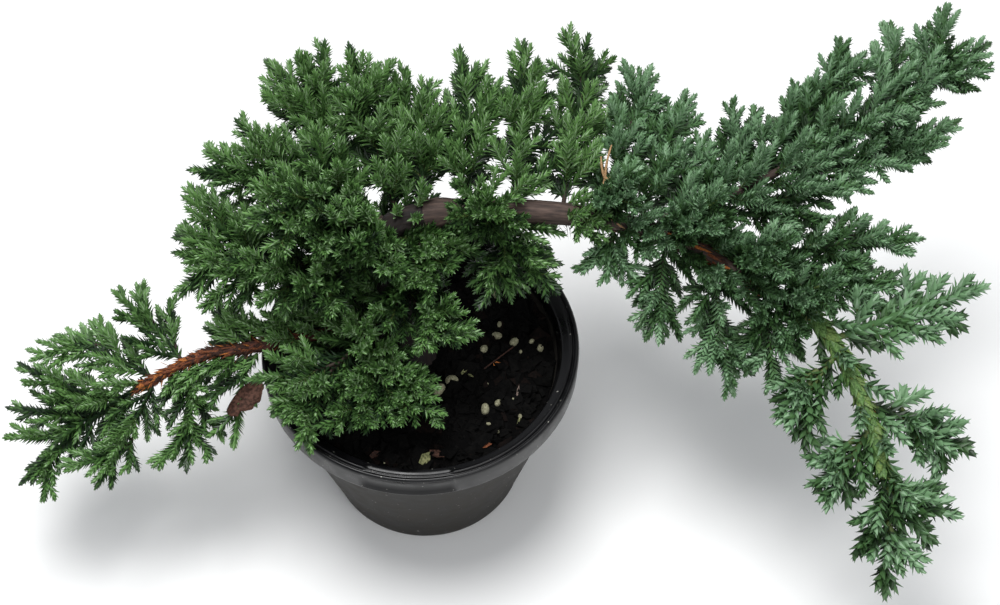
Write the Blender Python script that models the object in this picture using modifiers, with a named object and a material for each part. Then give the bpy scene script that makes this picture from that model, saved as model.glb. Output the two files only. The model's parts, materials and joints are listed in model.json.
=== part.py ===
"""A young prostrate garden juniper, grown as bonsai stock in a round plastic nursery pot.

The sizes below are in millimetres, and MM turns them into metres when a mesh is made. +X is to the
right of the plant's front view, +Y is its back and +Z is up. The origin is the centre of the pot's
flat underside.
"""

import math
import random
from dataclasses import dataclass, replace

import bmesh
import bpy
import numpy as np

MM = 0.001
SEAT = 0.3

# The pot: the rim's radius and the height drive its other sizes.
RIM_RADIUS = 77.5
POT_HEIGHT = 105.0
BASE_RADIUS = 0.64 * RIM_RADIUS
BODY_TOP_RADIUS = 0.93 * RIM_RADIUS
SKIRT_HEIGHT = 14.0
WALL_TOP_RADIUS = 0.89 * RIM_RADIUS
WALL_TOP = POT_HEIGHT - 3.2
WALL_FOOT_RADIUS = BASE_RADIUS - 2.2
FLOOR = 2.4
FOOT_EDGE = 1.0
TURN_STEPS = 48
# From the inner ridge over the groove and the lip: how far in from the rim and down from its top.
RIM_FORM = ((4.4, 1.3), (3.6, 0.8), (2.7, 1.6), (1.6, 0.0), (0.0, 1.2))
SKIRT_TAPER = 0.5

# The soil fills the pot to this far below its rim.
SOIL_TOP = POT_HEIGHT - 12.0
SOIL_FALL = 2.4
SOIL_LEVEL_RADIUS = 22.0
SOIL_SHOULDER = 0.75
SOIL_SHOULDER_FALL = 0.4

# Limbs.
COLLAR = 2.5
ROOT_FLARE = 0.42
ROOT_FLARE_HEIGHT = 7.0
PATH_STEPS = 3
STOUT_RADIUS = 5.0

# A mass's twigs: an axis, and leaders that fork off it. AXIS_BIAS keeps the axis near the fan's middle.
TWIG_POINTS = 4
TWIG_BEND = 0.35
TWIG_RADIUS = 1.3
LEADER_RADIUS = 0.8 * TWIG_RADIUS
TWIG_TIP_RADIUS = 0.6
TWIG_TURN = 0.4
LEAST_PIECE = 0.5
UPRIGHT = (0.13, 0.21, 0.97)
AXIS_BIAS = 6.0
FORK = math.radians(42)
FIRST_FORK = 0.12

# The sprays along a twig. Pairs of numbers hold from the twig's foot to its tip, or from least to most.
SPRAY_PITCH = 7.0
OPEN_SPACING = 8.5
CORE_SPACING = 9.5
FIRST_SPRAY = 0.1
SPRAY_ROLL = (-35, 60)
SPRAY_OPENING = (72, 38)
OPENING_SPREAD = 6
TIP_SPRAY = 27.0
TIP_TILT = 0.5
SIDE_SPRAY = (19.0, 31.0)
SIDE_SHARE = (0.60, 0.36)
SIDE_SPREAD = (0.85, 1.15)
SIDE_TILT = 0.7
TWIG_OVERLAP = 4.0

# A spray's shares of its length, and the shorter and slimmer forms that are tried where it doesn't fit.
SPRAY_WIDTH = 0.25
SPRAY_RIDGE = 0.085
SPRAY_RIDGE_AT = 0.45
SPRAY_MIDDLE = 0.6
SIDE_FITS = ((1.0, 1.0), (0.8, 0.9), (0.65, 0.8), (0.5, 0.7))
TIP_FITS = ((1.0, 1.0), (1.0, 0.7), (1.0, 0.5), (0.8, 0.5), (0.6, 0.4))
# Two teeth and the notch between them, along and across, as shares of the length and half width.
SPRAY_TEETH = ((0.42, 1.0), (0.54, 0.5), (0.74, 0.84))

# The core of a dense mass: shares of its axis, and how finely it is cut back to the mass's own room.
CORE_AT = 0.38
CORE_LENGTH = 0.32
CORE_FLATNESS = 0.6
CORE_STEPS = 16
CORE_SIDES = 7
CORE_RINGS = 5

# The clear room round each mass's pieces.
CORE_MARGIN = 3.0
SPRAY_MARGIN = 1.2
SPRAY_NECK = 3.0
TWIG_GAP = 2.5
CROSSING_GAP = 4.2
LIMB_GAP = 1.0
POT_GAP = 1.2
MOUTH_GAP = 4.8
SAMPLE_PITCH = 2.0
FOOT_SAMPLES = 2


@dataclass(frozen=True)
class Limb:
    """The trunk or a bough: where it leaves its parent, the points that it passes, and its radii."""

    name: str
    parent: str
    at: float
    points: tuple
    foot: float
    tip: float


@dataclass(frozen=True)
class Mass:
    """Foliage that fans out from one stem.

    The twigs' tips spread over the fan, which is centred on the heading, and rise from the first angle to
    the second, with every other one a tier higher. Each reaches so far from the foot. The core's radius is
    a share of the axis.
    """

    name: str
    limb: str
    at: float
    heading: float
    fan: float
    rise: tuple
    reach: tuple
    seed: int
    core: float = 0.0
    tier: float = 4.0


LIMBS = (
    Limb(
        "trunk",
        "",
        0.0,
        ((-4, 2, SOIL_TOP), (-8, 12, 118), (-17, 24, 140), (-10, 32, 158), (10, 33, 165)),
        8.2,
        6.3,
    ),
    Limb(
        "main_bough",
        "trunk",
        1.0,
        ((53, 32, 168), (92, 27, 167), (126, 16, 163), (150, 2, 158), (180, -13, 150)),
        6.1,
        3.4,
    ),
    Limb("leader_bough", "main_bough", 1.0, ((197, -36, 143), (209, -64, 130), (212, -80, 122)), 3.1, 1.9),
    Limb("upper_right_bough", "main_bough", 0.58, ((133, 33, 170), (158, 42, 176), (180, 53, 181)), 3.0, 1.8),
    Limb(
        "left_bough",
        "trunk",
        0.24,
        ((-42, 2, 112), (-70, -6, 114), (-88, -10, 114), (-106, -11, 110), (-136, -20, 97)),
        3.2,
        1.9,
    ),
    Limb("left_side_bough", "trunk", 0.50, ((-34, 27, 142), (-50, 21, 147)), 3.0, 1.9),
    Limb("upper_left_bough", "trunk", 0.72, ((-28, 40, 162), (-42, 50, 165)), 3.2, 2.0),
    Limb("front_bough", "trunk", 0.31, ((-20, -6, 121), (-31, -18, 126)), 3.0, 1.9),
)

MASSES = (
    Mass("left_end", "left_bough", 1.0, 200, 60, (2, -22), (60, 66, 72, 74, 70), 1, 0.12),
    Mass("left_outer_back", "left_bough", 0.93, 155, 34, (7, -5), (42, 58, 62), 40, 0.17),
    Mass("left_outer_front", "left_bough", 0.93, 240, 34, (-14, -20), (60, 58, 46), 41, 0.18),
    Mass("left_arm_back", "left_bough", 0.80, 130, 50, (26, 2), (30, 44, 50, 46), 2, 0.17),
    Mass("left_arm_middle", "left_bough", 0.60, 112, 60, (10, 6), (26, 32, 38), 3, 0.2),
    Mass("left_arm_front", "left_bough", 0.80, 280, 56, (-26, -34), (50, 50, 46, 38), 4, 0.19),
    Mass("left_arm_inner", "left_bough", 0.55, 250, 64, (-24, -42), (34, 44, 46, 26), 5, 0.17),
    Mass("dome_left", "left_side_bough", 1.0, 181, 58, (10, -9), (70, 68, 66, 66, 58), 6, 0.27),
    Mass("dome_middle_left", "upper_left_bough", 0.62, 212, 50, (20, 22), (48, 50, 52, 56), 42, 0.3, 8),
    Mass("dome_upper_left", "upper_left_bough", 1.0, 168, 46, (7, -3), (58, 66, 68, 68), 7, 0.28),
    Mass("dome_top", "upper_left_bough", 0.80, 110, 46, (31, 12), (76, 76, 72, 80, 62), 8, 0.26),
    Mass("dome_top_right", "trunk", 0.80, 108, 36, (28, 36), (72, 84, 64), 9, 0.22),
    Mass("dome_crown", "upper_left_bough", 0.30, 190, 110, (42, 32), (50, 46, 52, 48), 10, 0.4, 10),
    Mass("dome_front", "left_side_bough", 0.60, 234, 70, (12, 24), (58, 50, 46, 44), 11, 0.34, 10),
    Mass("dome_crown_front", "trunk", 0.66, 245, 90, (48, 42), (56, 50, 50, 44), 12, 0.38, 10),
    Mass("front_left", "front_bough", 1.0, 225, 50, (-2, -10), (52, 48, 50, 54), 13, 0.24),
    Mass("front_middle", "front_bough", 0.70, 290, 84, (-2, -4), (53, 46, 48, 55, 36), 14, 0.26),
    Mass("trunk_front", "trunk", 0.50, 296, 56, (12, 0), (42, 50, 58, 54), 15, 0.28),
    Mass("trunk_front_upper", "trunk", 0.88, 296, 84, (0, 4), (34, 42, 32, 36), 16, 0.36),
    Mass("back_left", "trunk", 0.95, 94, 32, (24, 18), (48, 64, 68, 76), 17, 0.24),
    Mass("back_middle_left", "main_bough", 0.08, 89, 30, (12, 16), (50, 76, 80, 48), 18, 0.2),
    Mass("back_middle", "main_bough", 0.20, 83, 24, (14, 13), (58, 76, 84, 56), 19, 0.22),
    Mass("back_middle_right", "main_bough", 0.32, 85, 28, (8, 15), (84, 92, 92, 70), 20, 0.21),
    Mass("back_right", "main_bough", 0.43, 78, 28, (11, 10), (66, 88, 80, 90), 21, 0.21),
    Mass("right_plume", "main_bough", 0.52, 65, 28, (14, 8), (44, 62, 72, 46), 22, 0.2),
    Mass("right_inner_back", "upper_right_bough", 0.12, 66, 30, (16, 14), (36, 46, 40), 43, 0.3),
    Mass("right_back", "upper_right_bough", 0.38, 60, 34, (14, 16), (46, 54, 50), 23, 0.28),
    Mass("right_back_outer", "upper_right_bough", 0.70, 56, 20, (10, 8), (58, 68, 56), 24, 0.24),
    Mass("right_top", "upper_right_bough", 0.92, 55, 20, (12, 11), (66, 76, 72), 44, 0.2),
    Mass("right_end", "upper_right_bough", 1.0, 41, 34, (5, 9), (104, 122, 116, 100), 25, 0.15),
    Mass("right_end_front", "upper_right_bough", 0.85, 22, 20, (2, 4), (76, 97, 80), 26, 0.14),
    Mass("right_inner", "upper_right_bough", 0.50, 350, 30, (-14, 3), (34, 46, 58), 27, 0.3),
    Mass("right_middle", "main_bough", 0.80, 21, 24, (-2, 1), (88, 78, 60), 28, 0.2),
    Mass("right_lower", "main_bough", 0.93, 10, 32, (-6, 0), (44, 60, 46), 29, 0.24),
    Mass("bough_crown_left", "main_bough", 0.14, 240, 120, (44, 40), (30, 32, 34, 28), 45, 0.36, 10),
    Mass("bough_crown_middle", "main_bough", 0.40, 345, 110, (52, 40), (28, 32, 34, 32), 46, 0.36, 8),
    Mass("bough_crown_right", "main_bough", 0.60, 335, 100, (48, 44), (32, 36, 40, 34), 47, 0.34, 8),
    Mass("bough_crown_outer", "main_bough", 0.78, 335, 90, (38, 40), (32, 36, 38, 32), 48, 0.34, 8),
    Mass("bough_crown_end", "main_bough", 0.94, 330, 90, (34, 38), (24, 30, 32, 28), 49, 0.34, 8),
    Mass("under_bough", "main_bough", 0.16, 300, 100, (-48, -30), (42, 36, 43, 32), 30, 0.32, 8),
    Mass("middle_left", "main_bough", 0.46, 262, 90, (-34, -36), (26, 24, 28), 31, 0.3),
    Mass("middle_front", "main_bough", 0.60, 256, 64, (-42, -42), (32, 42, 46, 44), 32, 0.34),
    Mass("middle_low", "main_bough", 0.74, 276, 56, (-54, -44), (34, 46, 62, 54), 33, 0.3),
    Mass("middle_right", "main_bough", 0.90, 264, 84, (-56, -30), (26, 36, 42, 28), 34, 0.32),
    Mass("leader_right", "leader_bough", 0.22, 16, 32, (-9, -1), (50, 66, 80, 50), 35, 0.14),
    Mass("leader_left", "leader_bough", 0.30, 229, 44, (-10, -24), (34, 40, 42, 46), 36, 0.18),
    Mass("leader_low_left", "leader_bough", 0.76, 231, 50, (-23, -42), (32, 38, 42, 38), 37, 0.16),
    Mass("leader_low_right", "leader_bough", 0.62, 334, 40, (-28, -22), (38, 50, 56, 34), 38, 0.17),
    Mass("leader_end", "leader_bough", 1.0, 306, 110, (-40, -24), (40, 60, 50, 44, 42, 36), 39, 0.16),
)


def aim(heading, rise):
    """The unit vector at a compass heading, anticlockwise from +X, and a rise, both in degrees."""
    turn, lift = math.radians(heading), math.radians(rise)
    level = math.cos(lift)
    return np.array([math.cos(turn) * level, math.sin(turn) * level, math.sin(lift)])


def unit(vector):
    return vector / np.linalg.norm(vector)


def smooth_path(points, steps):
    """A Catmull-Rom curve through the points, with so many straight pieces between two of them."""
    given = np.array(points, float)
    ends = np.vstack([2 * given[0] - given[1], given, 2 * given[-1] - given[-2]])
    path = []
    for before, start, end, after in zip(ends, ends[1:], ends[2:], ends[3:]):
        for step in range(steps):
            t = step / steps
            path.append(
                0.5
                * (
                    2 * start
                    + (end - before) * t
                    + (2 * before - 5 * start + 4 * end - after) * t**2
                    + (3 * start - before - 3 * end + after) * t**3
                )
            )
    path.append(given[-1])
    return np.array(path)


def cut_path(path, share):
    """The path's points up to a share of its length, and the point there."""
    run = lengths_along(path)
    end, _ = point_along(path, share)
    return np.vstack([path[run < share * run[-1] - LEAST_PIECE], end])


def lengths_along(path):
    """How far along the path each of its points lies."""
    return np.concatenate([[0.0], np.cumsum(np.linalg.norm(np.diff(path, axis=0), axis=1))])


def point_along(path, share):
    """The point at a share of the path's length, and the path's direction there."""
    run = lengths_along(path)
    reached = share * run[-1]
    point = np.array([np.interp(reached, run, path[:, axis]) for axis in range(3)])
    piece = min(int(np.searchsorted(run, reached, side="right")) - 1, len(path) - 2)
    return point, unit(path[piece + 1] - path[piece])


def limb_radius(limb, share, run):
    """The limb's radius at a share of its length, that far from its foot. The trunk flares at its root."""
    radius = limb.foot + (limb.tip - limb.foot) * share
    if not limb.parent:
        radius *= 1 + ROOT_FLARE * math.exp(-run / ROOT_FLARE_HEIGHT)
    return radius


def between(pair, share):
    """The value at a share of the way from the pair's first number to its second."""
    return pair[0] + (pair[1] - pair[0]) * share


def seat_on(limb, path, share, towards):
    """The point and direction of a piece's foot, 0.3 mm off the limb's tip or, below it, off its side."""
    point, direction = point_along(path, share)
    if share >= 1:
        return point + direction * SEAT, direction
    outward = unit(towards - direction * (towards @ direction))
    radius = limb_radius(limb, share, share * lengths_along(path)[-1])
    return point + outward * (radius + SEAT), outward


def limb_paths():
    """Every limb's path, from its seat to its tip, by the limb's name."""
    limbs = {limb.name: limb for limb in LIMBS}
    paths = {}
    for limb in LIMBS:
        points = [np.array(point, float) for point in limb.points]
        if limb.parent:
            parent_path = paths[limb.parent]
            near, _ = point_along(parent_path, limb.at)
            foot, direction = seat_on(limbs[limb.parent], parent_path, limb.at, points[0] - near)
        else:
            direction = np.array([0.0, 0.0, 1.0])
            foot = points.pop(0) + direction * SEAT
        collar = foot + direction * COLLAR
        paths[limb.name] = np.vstack([foot, smooth_path([collar, *points], PATH_STEPS)])
    return paths


def limb_radii(limb, path):
    run = lengths_along(path)
    return [limb_radius(limb, reached / run[-1], reached) for reached in run]


def bent(start, tip, ahead):
    """A twig from start to tip, as a quadratic Bezier curve that sets off towards the direction ahead."""
    pull = start + ahead * TWIG_BEND * np.linalg.norm(tip - start)
    t = np.linspace(0, 1, TWIG_POINTS)[:, None]
    return (1 - t) ** 2 * start + 2 * t * (1 - t) * pull + t**2 * tip


def grow_twigs(mass, limb, path):
    """The mass's twigs as paths: an axis to its furthest tip, and leaders that fork off it to the others."""
    middle = aim(mass.heading, sum(mass.rise) / 2)
    foot, direction = seat_on(limb, path, mass.at, middle)
    bend = foot + direction * COLLAR
    last = len(mass.reach) - 1
    tips = []
    for number, reach in enumerate(mass.reach):
        heading = mass.heading + mass.fan * (number / last - 0.5)
        rise = between(mass.rise, number / last) + mass.tier * (-1) ** number
        tips.append(foot + aim(heading, rise) * reach)
    fitness = [reach - AXIS_BIAS * abs(number - last / 2) for number, reach in enumerate(mass.reach)]
    central = fitness.index(max(fitness))
    axis = np.vstack([foot, bent(bend, tips.pop(central), unit(direction + middle))])
    ahead = unit(axis[-1] - foot)
    length = lengths_along(axis)[-1]
    last_fork = max(FIRST_FORK, tip_spray_at(axis))
    leaders = []
    for tip in tips:
        along = (tip - foot) @ ahead
        aside = np.linalg.norm(tip - foot - ahead * along)
        share = float(np.clip((along - aside / math.tan(FORK)) / length, FIRST_FORK, last_fork))
        start, forward = point_along(axis, share)
        leaders.append(bent(start, tip, forward))
    return [axis, *leaders]


@dataclass(frozen=True)
class Spray:
    """A flat spray of needles: where it is rooted, its direction, the way its face looks and its length."""

    root: np.ndarray
    direction: np.ndarray
    face: np.ndarray
    length: float
    half_width: float


def tip_spray_at(twig):
    """The share of the twig's length at which the spray on its tip is rooted."""
    return max(0.0, 1 - TIP_SPRAY / lengths_along(twig)[-1])


def sprays_on(twig, draw):
    """The spray at the twig's tip, then those along it, on alternate sides, from the tip to the foot."""
    length = lengths_along(twig)[-1]
    last = tip_spray_at(twig)
    root, _ = point_along(twig, last)
    direction = unit(twig[-1] - root)
    across = unit(np.cross(direction, (0, 0, 1)))
    face = np.cross(across, direction) + TIP_TILT * draw.uniform(-1, 1) * across
    size = float(np.linalg.norm(twig[-1] - root))
    sprays = [Spray(root, direction, face, size, SPRAY_WIDTH * size)]
    side = draw.choice((-1, 1))
    count = max(0, round(length * (last - FIRST_SPRAY) / SPRAY_PITCH))
    for number in reversed(range(count)):
        share = between((FIRST_SPRAY, last), (number + 0.5) / count)
        root, forward = point_along(twig, share)
        across = unit(np.cross(forward, (0, 0, 1)))
        above = np.cross(across, forward)
        roll = math.radians(draw.uniform(*SPRAY_ROLL))
        opening = math.radians(between(SPRAY_OPENING, share) + OPENING_SPREAD * draw.uniform(-1, 1))
        outward = side * across * math.cos(roll) + above * math.sin(roll)
        direction = forward * math.cos(opening) + outward * math.sin(opening)
        size = float(np.clip(length * between(SIDE_SHARE, share) * draw.uniform(*SIDE_SPREAD), *SIDE_SPRAY))
        face = above + SIDE_TILT * draw.uniform(-1, 1) * across
        sprays.append(Spray(root, direction, face, size, SPRAY_WIDTH * size))
        side = -side
    return sprays


def spray_points(spray):
    """The spray's outline, from its root round its tip, then the ridges of its two faces."""
    along = spray.direction
    face = unit(spray.face - along * (spray.face @ along))
    across = np.cross(face, along)
    root, length = spray.root, spray.length
    right = [root + along * length * x + across * spray.half_width * y for x, y in SPRAY_TEETH]
    left = [root + along * length * x - across * spray.half_width * y for x, y in reversed(SPRAY_TEETH)]
    ridge = root + along * length * SPRAY_RIDGE_AT
    rise = face * length * SPRAY_RIDGE
    return np.array([root, *right, root + along * length, *left]), ridge + rise, ridge - rise


class Space:
    """The room that each mass keeps to: nearest its own twigs, and clear of the limbs and the pot."""

    def __init__(self, paths, grown):
        self.samples = {name: dense(twigs[0]) for name, twigs in grown.items()}
        points = {limb.name: dense(paths[limb.name]) for limb in LIMBS}
        radii = []
        for limb in LIMBS:
            run = lengths_along(points[limb.name])
            radii += [limb_radius(limb, reached / run[-1], reached) for reached in run]
        self.limb_points = np.vstack([points[limb.name] for limb in LIMBS])
        self.limb_radii = np.array(radii)

    def settle(self, name, twigs):
        """Drops the leaders that come too near to another mass's twigs, to a limb or to the pot."""
        kept = [twigs[0]]
        for leader in twigs[1:]:
            points = dense(leader)
            others = [samples for other, samples in self.samples.items() if other != name]
            apart = all((nearest(points, samples) > CROSSING_GAP).all() for samples in others)
            grown = points[FOOT_SAMPLES:]
            if apart and self.clear_of_limbs(grown) and clear_of_pot(grown):
                kept.append(leader)
        self.samples[name] = np.vstack([dense(twig) for twig in kept])
        return kept

    def owns(self, name, points, gap):
        """Whether the points are clear, and nearer by the gap to the mass's own twigs than to another's."""
        if not (clear_of_pot(points) and self.clear_of_limbs(points)):
            return False
        own = nearest(points, self.samples[name])
        for other, samples in self.samples.items():
            if other != name and (nearest(points, samples) < np.maximum(own + gap, TWIG_GAP)).any():
                return False
        return True

    def holds(self, name, spray):
        """Whether the spray lies in the mass's own room, tested at points over its faces."""
        outline, upper, lower = spray_points(spray)
        rim = np.vstack([outline, (outline + np.roll(outline, 1, axis=0)) / 2])
        inner = [rim + (ridge - rim) * share for ridge in (upper, lower) for share in (1 / 3, 2 / 3)]
        points = np.vstack([rim, *inner, [upper, lower]])
        beyond_neck = np.linalg.norm(points - spray.root, axis=1) > SPRAY_NECK
        return self.owns(name, points[beyond_neck], SPRAY_MARGIN)

    def clear_of_limbs(self, points):
        away = np.linalg.norm(points[:, None] - self.limb_points, axis=2)
        return bool((away > self.limb_radii + LIMB_GAP).all())


def dense(path):
    """Points all along the path, close together."""
    count = max(2, int(lengths_along(path)[-1] / SAMPLE_PITCH))
    return np.array([point_along(path, number / (count - 1))[0] for number in range(count)])


def nearest(points, samples):
    """How far each point is from the nearest sample."""
    return np.linalg.norm(points[:, None] - samples, axis=2).min(axis=1)


def clear_of_pot(points):
    """Whether the points are outside the pot, or over the soil within its mouth, and above the ground."""
    radius = np.hypot(points[:, 0], points[:, 1])
    height = points[:, 2]
    outside = (radius > RIM_RADIUS + POT_GAP) | (height > POT_HEIGHT + POT_GAP)
    in_mouth = (radius < WALL_TOP_RADIUS - MOUTH_GAP) & (height > SOIL_TOP + POT_GAP)
    return bool(((outside | in_mouth) & (height > POT_GAP)).all())


def new_material(name, color, roughness):
    material = bpy.data.materials.new(name)
    material.use_nodes = True
    shader = material.node_tree.nodes["Principled BSDF"]
    shader.inputs["Base Color"].default_value = (*color, 1.0)
    shader.inputs["Roughness"].default_value = roughness
    return material


def add_object(name, data, collection, material=None):
    thing = bpy.data.objects.new(name, data)
    collection.objects.link(thing)
    if material:
        data.materials.append(material)
    return thing


def turned_body(name, profile, collection, material):
    """A body turned about the Z axis from a profile that runs from its inner end down its outer side."""
    mesh = bpy.data.meshes.new(name)
    points = [(radius * MM, 0.0, height * MM) for radius, height in profile]
    mesh.from_pydata(points, [(number, number + 1) for number in range(len(points) - 1)], [])
    thing = add_object(name, mesh, collection, material)
    turn = thing.modifiers.new("Turn", "SCREW")
    turn.steps = turn.render_steps = TURN_STEPS
    turn.use_merge_vertices = True
    turn.merge_threshold = 0.00001
    turn.use_smooth_shade = True
    return thing


def pot_profile():
    """From the floor's centre up the inside, over the ridge, groove and lip, and down the outside."""
    skirt_foot = POT_HEIGHT - SKIRT_HEIGHT
    return (
        (0, FLOOR),
        (WALL_FOOT_RADIUS, FLOOR),
        (WALL_TOP_RADIUS, WALL_TOP),
        *((RIM_RADIUS - inward, POT_HEIGHT - down) for inward, down in RIM_FORM),
        (RIM_RADIUS - SKIRT_TAPER, skirt_foot),
        (BODY_TOP_RADIUS, skirt_foot),
        (BASE_RADIUS, FOOT_EDGE),
        (BASE_RADIUS - FOOT_EDGE, 0),
        (0, 0),
    )


def soil_profile():
    """A low mound with a level middle, which stands 0.3 mm clear of the pot's wall and floor."""
    edge = SOIL_TOP - SOIL_FALL
    slope = (WALL_TOP_RADIUS - WALL_FOOT_RADIUS) / (WALL_TOP - FLOOR)
    gap = SEAT * math.hypot(1, slope)
    foot = FLOOR + SEAT
    return (
        (0, SOIL_TOP),
        (SOIL_LEVEL_RADIUS, SOIL_TOP),
        (SOIL_SHOULDER * WALL_TOP_RADIUS, SOIL_TOP - SOIL_SHOULDER_FALL * SOIL_FALL),
        (WALL_FOOT_RADIUS + slope * (edge - FLOOR) - gap, edge),
        (WALL_FOOT_RADIUS + slope * SEAT - gap, foot),
        (0, foot),
    )


def limb_tube(limb, path, collection, material):
    """The limb as a curve whose bevel follows its radii, made a mesh with its caps welded."""
    curve = bpy.data.curves.new(limb.name, "CURVE")
    curve.dimensions = "3D"
    curve.bevel_depth = MM
    curve.bevel_resolution = 3 if limb.foot > STOUT_RADIUS else 2
    curve.use_fill_caps = True
    spline = curve.splines.new("POLY")
    spline.points.add(len(path) - 1)
    for point, place, radius in zip(spline.points, path, limb_radii(limb, path)):
        point.co = (*(place * MM), 1.0)
        point.radius = radius
    return add_object(limb.name, curve, collection, material)


def twig_mesh(name, path, foot_radius, tip_radius):
    """A three-sided tapering twig. A curve's bevel has at least four sides, so rings are joined here."""
    mesh = bpy.data.meshes.new(name)
    form = bmesh.new()
    rings = []
    for number, place in enumerate(path):
        ahead = unit(path[min(number + 1, len(path) - 1)] - path[max(number - 1, 0)])
        across = unit(np.cross(ahead, UPRIGHT))
        above = np.cross(ahead, across)
        radius = between((foot_radius, tip_radius), number / (len(path) - 1))
        ring = []
        for corner in range(3):
            angle = math.tau * corner / 3 + TWIG_TURN
            offset = (across * math.cos(angle) + above * math.sin(angle)) * radius
            ring.append(form.verts.new((place + offset) * MM))
        rings.append(ring)
    for ring, following in zip(rings, rings[1:]):
        for corner in range(3):
            beside = (corner + 1) % 3
            form.faces.new((ring[corner], ring[beside], following[beside], following[corner]))
    form.faces.new(reversed(rings[0]))
    form.faces.new(rings[-1])
    form.to_mesh(mesh)
    form.free()
    return mesh


def spray_mesh(name, spray):
    """A toothed blade with a ridge along each face."""
    outline, upper, lower = spray_points(spray)
    mesh = bpy.data.meshes.new(name)
    form = bmesh.new()
    rim = [form.verts.new(point * MM) for point in outline]
    top = form.verts.new(upper * MM)
    bottom = form.verts.new(lower * MM)
    for corner, beside in zip(rim, rim[1:] + rim[:1]):
        form.faces.new((beside, corner, top))
        form.faces.new((corner, beside, bottom))
    form.to_mesh(mesh)
    form.free()
    return mesh


def core_mesh(name, mass, axis, space):
    """A faceted lump round the inner part of the axis, which swells only as far as the mass's room goes."""
    length = lengths_along(axis)[-1]
    centre, ahead = point_along(axis, CORE_AT)
    across = unit(np.cross((0, 0, 1), ahead))
    above = np.cross(ahead, across)
    sizes = np.array([mass.core, CORE_FLATNESS * mass.core, CORE_LENGTH]) * length
    mesh = bpy.data.meshes.new(name)
    form = bmesh.new()
    bmesh.ops.create_uvsphere(form, u_segments=CORE_SIDES, v_segments=CORE_RINGS, radius=1.0)
    for corner in form.verts:
        offset = np.array(corner.co) * sizes @ np.array([across, above, ahead])
        for step in range(CORE_STEPS, 0, -1):
            share = step / CORE_STEPS
            if space.owns(mass.name, np.array([centre + offset * share]), CORE_MARGIN):
                break
        corner.co = (centre + offset * share) * MM
    form.to_mesh(mesh)
    form.free()
    return mesh


def signed_volume(shell):
    """Six times the volume that a shell of triangles encloses, negative where it faces inwards."""
    return sum(face.verts[0].co.dot(face.verts[1].co.cross(face.verts[2].co)) for face in shell)


def keep_largest_shell(mesh):
    """Drops loose scraps, and the inner shells of sealed hollows, which fills them."""
    form = bmesh.new()
    form.from_mesh(mesh)
    bmesh.ops.triangulate(form, faces=form.faces)
    left = set(form.faces)
    shells = []
    while left:
        shell = {left.pop()}
        margin = list(shell)
        while margin:
            face = margin.pop()
            for beside in {link for edge in face.edges for link in edge.link_faces} & left:
                left.discard(beside)
                shell.add(beside)
                margin.append(beside)
        shells.append(shell)
    largest = max(shells, key=signed_volume)
    scraps = [face for face in form.faces if face not in largest]
    bmesh.ops.delete(form, geom=scraps, context="FACES")
    form.to_mesh(mesh)
    form.free()


def grow_mass(mass, twigs, space, collection, material):
    """One node of foliage: an axis, its leaders and their sprays, joined by one Boolean union."""
    draw = random.Random(mass.seed)
    pieces = bpy.data.collections.new(mass.name + "_pieces")
    bpy.context.scene.collection.children.link(pieces)
    spacing = CORE_SPACING if mass.core else OPEN_SPACING
    middles = []
    for number, twig in enumerate(twigs):
        bare = cut_path(twig, min(1.0, tip_spray_at(twig) + TWIG_OVERLAP / lengths_along(twig)[-1]))
        foot_radius = LEADER_RADIUS if number else TWIG_RADIUS
        mesh = twig_mesh(f"{mass.name}_twig_{number}", bare, foot_radius, TWIG_TIP_RADIUS)
        if number:
            add_object(mesh.name, mesh, pieces)
        else:
            node = add_object(mass.name + "_foliage", mesh, collection, material)
            if mass.core:
                core = core_mesh(mass.name + "_core", mass, twig, space)
                add_object(core.name, core, pieces)
        for order, spray in enumerate(sprays_on(twig, draw)):
            for share, slimness in SIDE_FITS if order else TIP_FITS:
                fitted = replace(spray, length=spray.length * share, half_width=spray.half_width * slimness)
                middle = fitted.root + fitted.direction * fitted.length * SPRAY_MIDDLE
                spaced = all(np.linalg.norm(middle - other) > spacing for other in middles)
                if spaced and space.holds(mass.name, fitted):
                    blade = spray_mesh(f"{mass.name}_spray_{number}_{order}", fitted)
                    add_object(blade.name, blade, pieces)
                    middles.append(middle)
                    break
    join = node.modifiers.new("Join", "BOOLEAN")
    join.operation = "UNION"
    join.operand_type = "COLLECTION"
    join.collection = pieces
    join.solver = "MANIFOLD"
    graph = bpy.context.evaluated_depsgraph_get()
    joined = bpy.data.meshes.new_from_object(node.evaluated_get(graph))
    node.modifiers.remove(join)
    keep_largest_shell(joined)
    joined.materials.clear()
    joined.materials.append(material)
    node.data = joined
    for piece in list(pieces.objects):
        bpy.data.objects.remove(piece)
    bpy.data.collections.remove(pieces)
    return node


def clear_scene():
    for thing in list(bpy.data.objects):
        bpy.data.objects.remove(thing)


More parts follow.
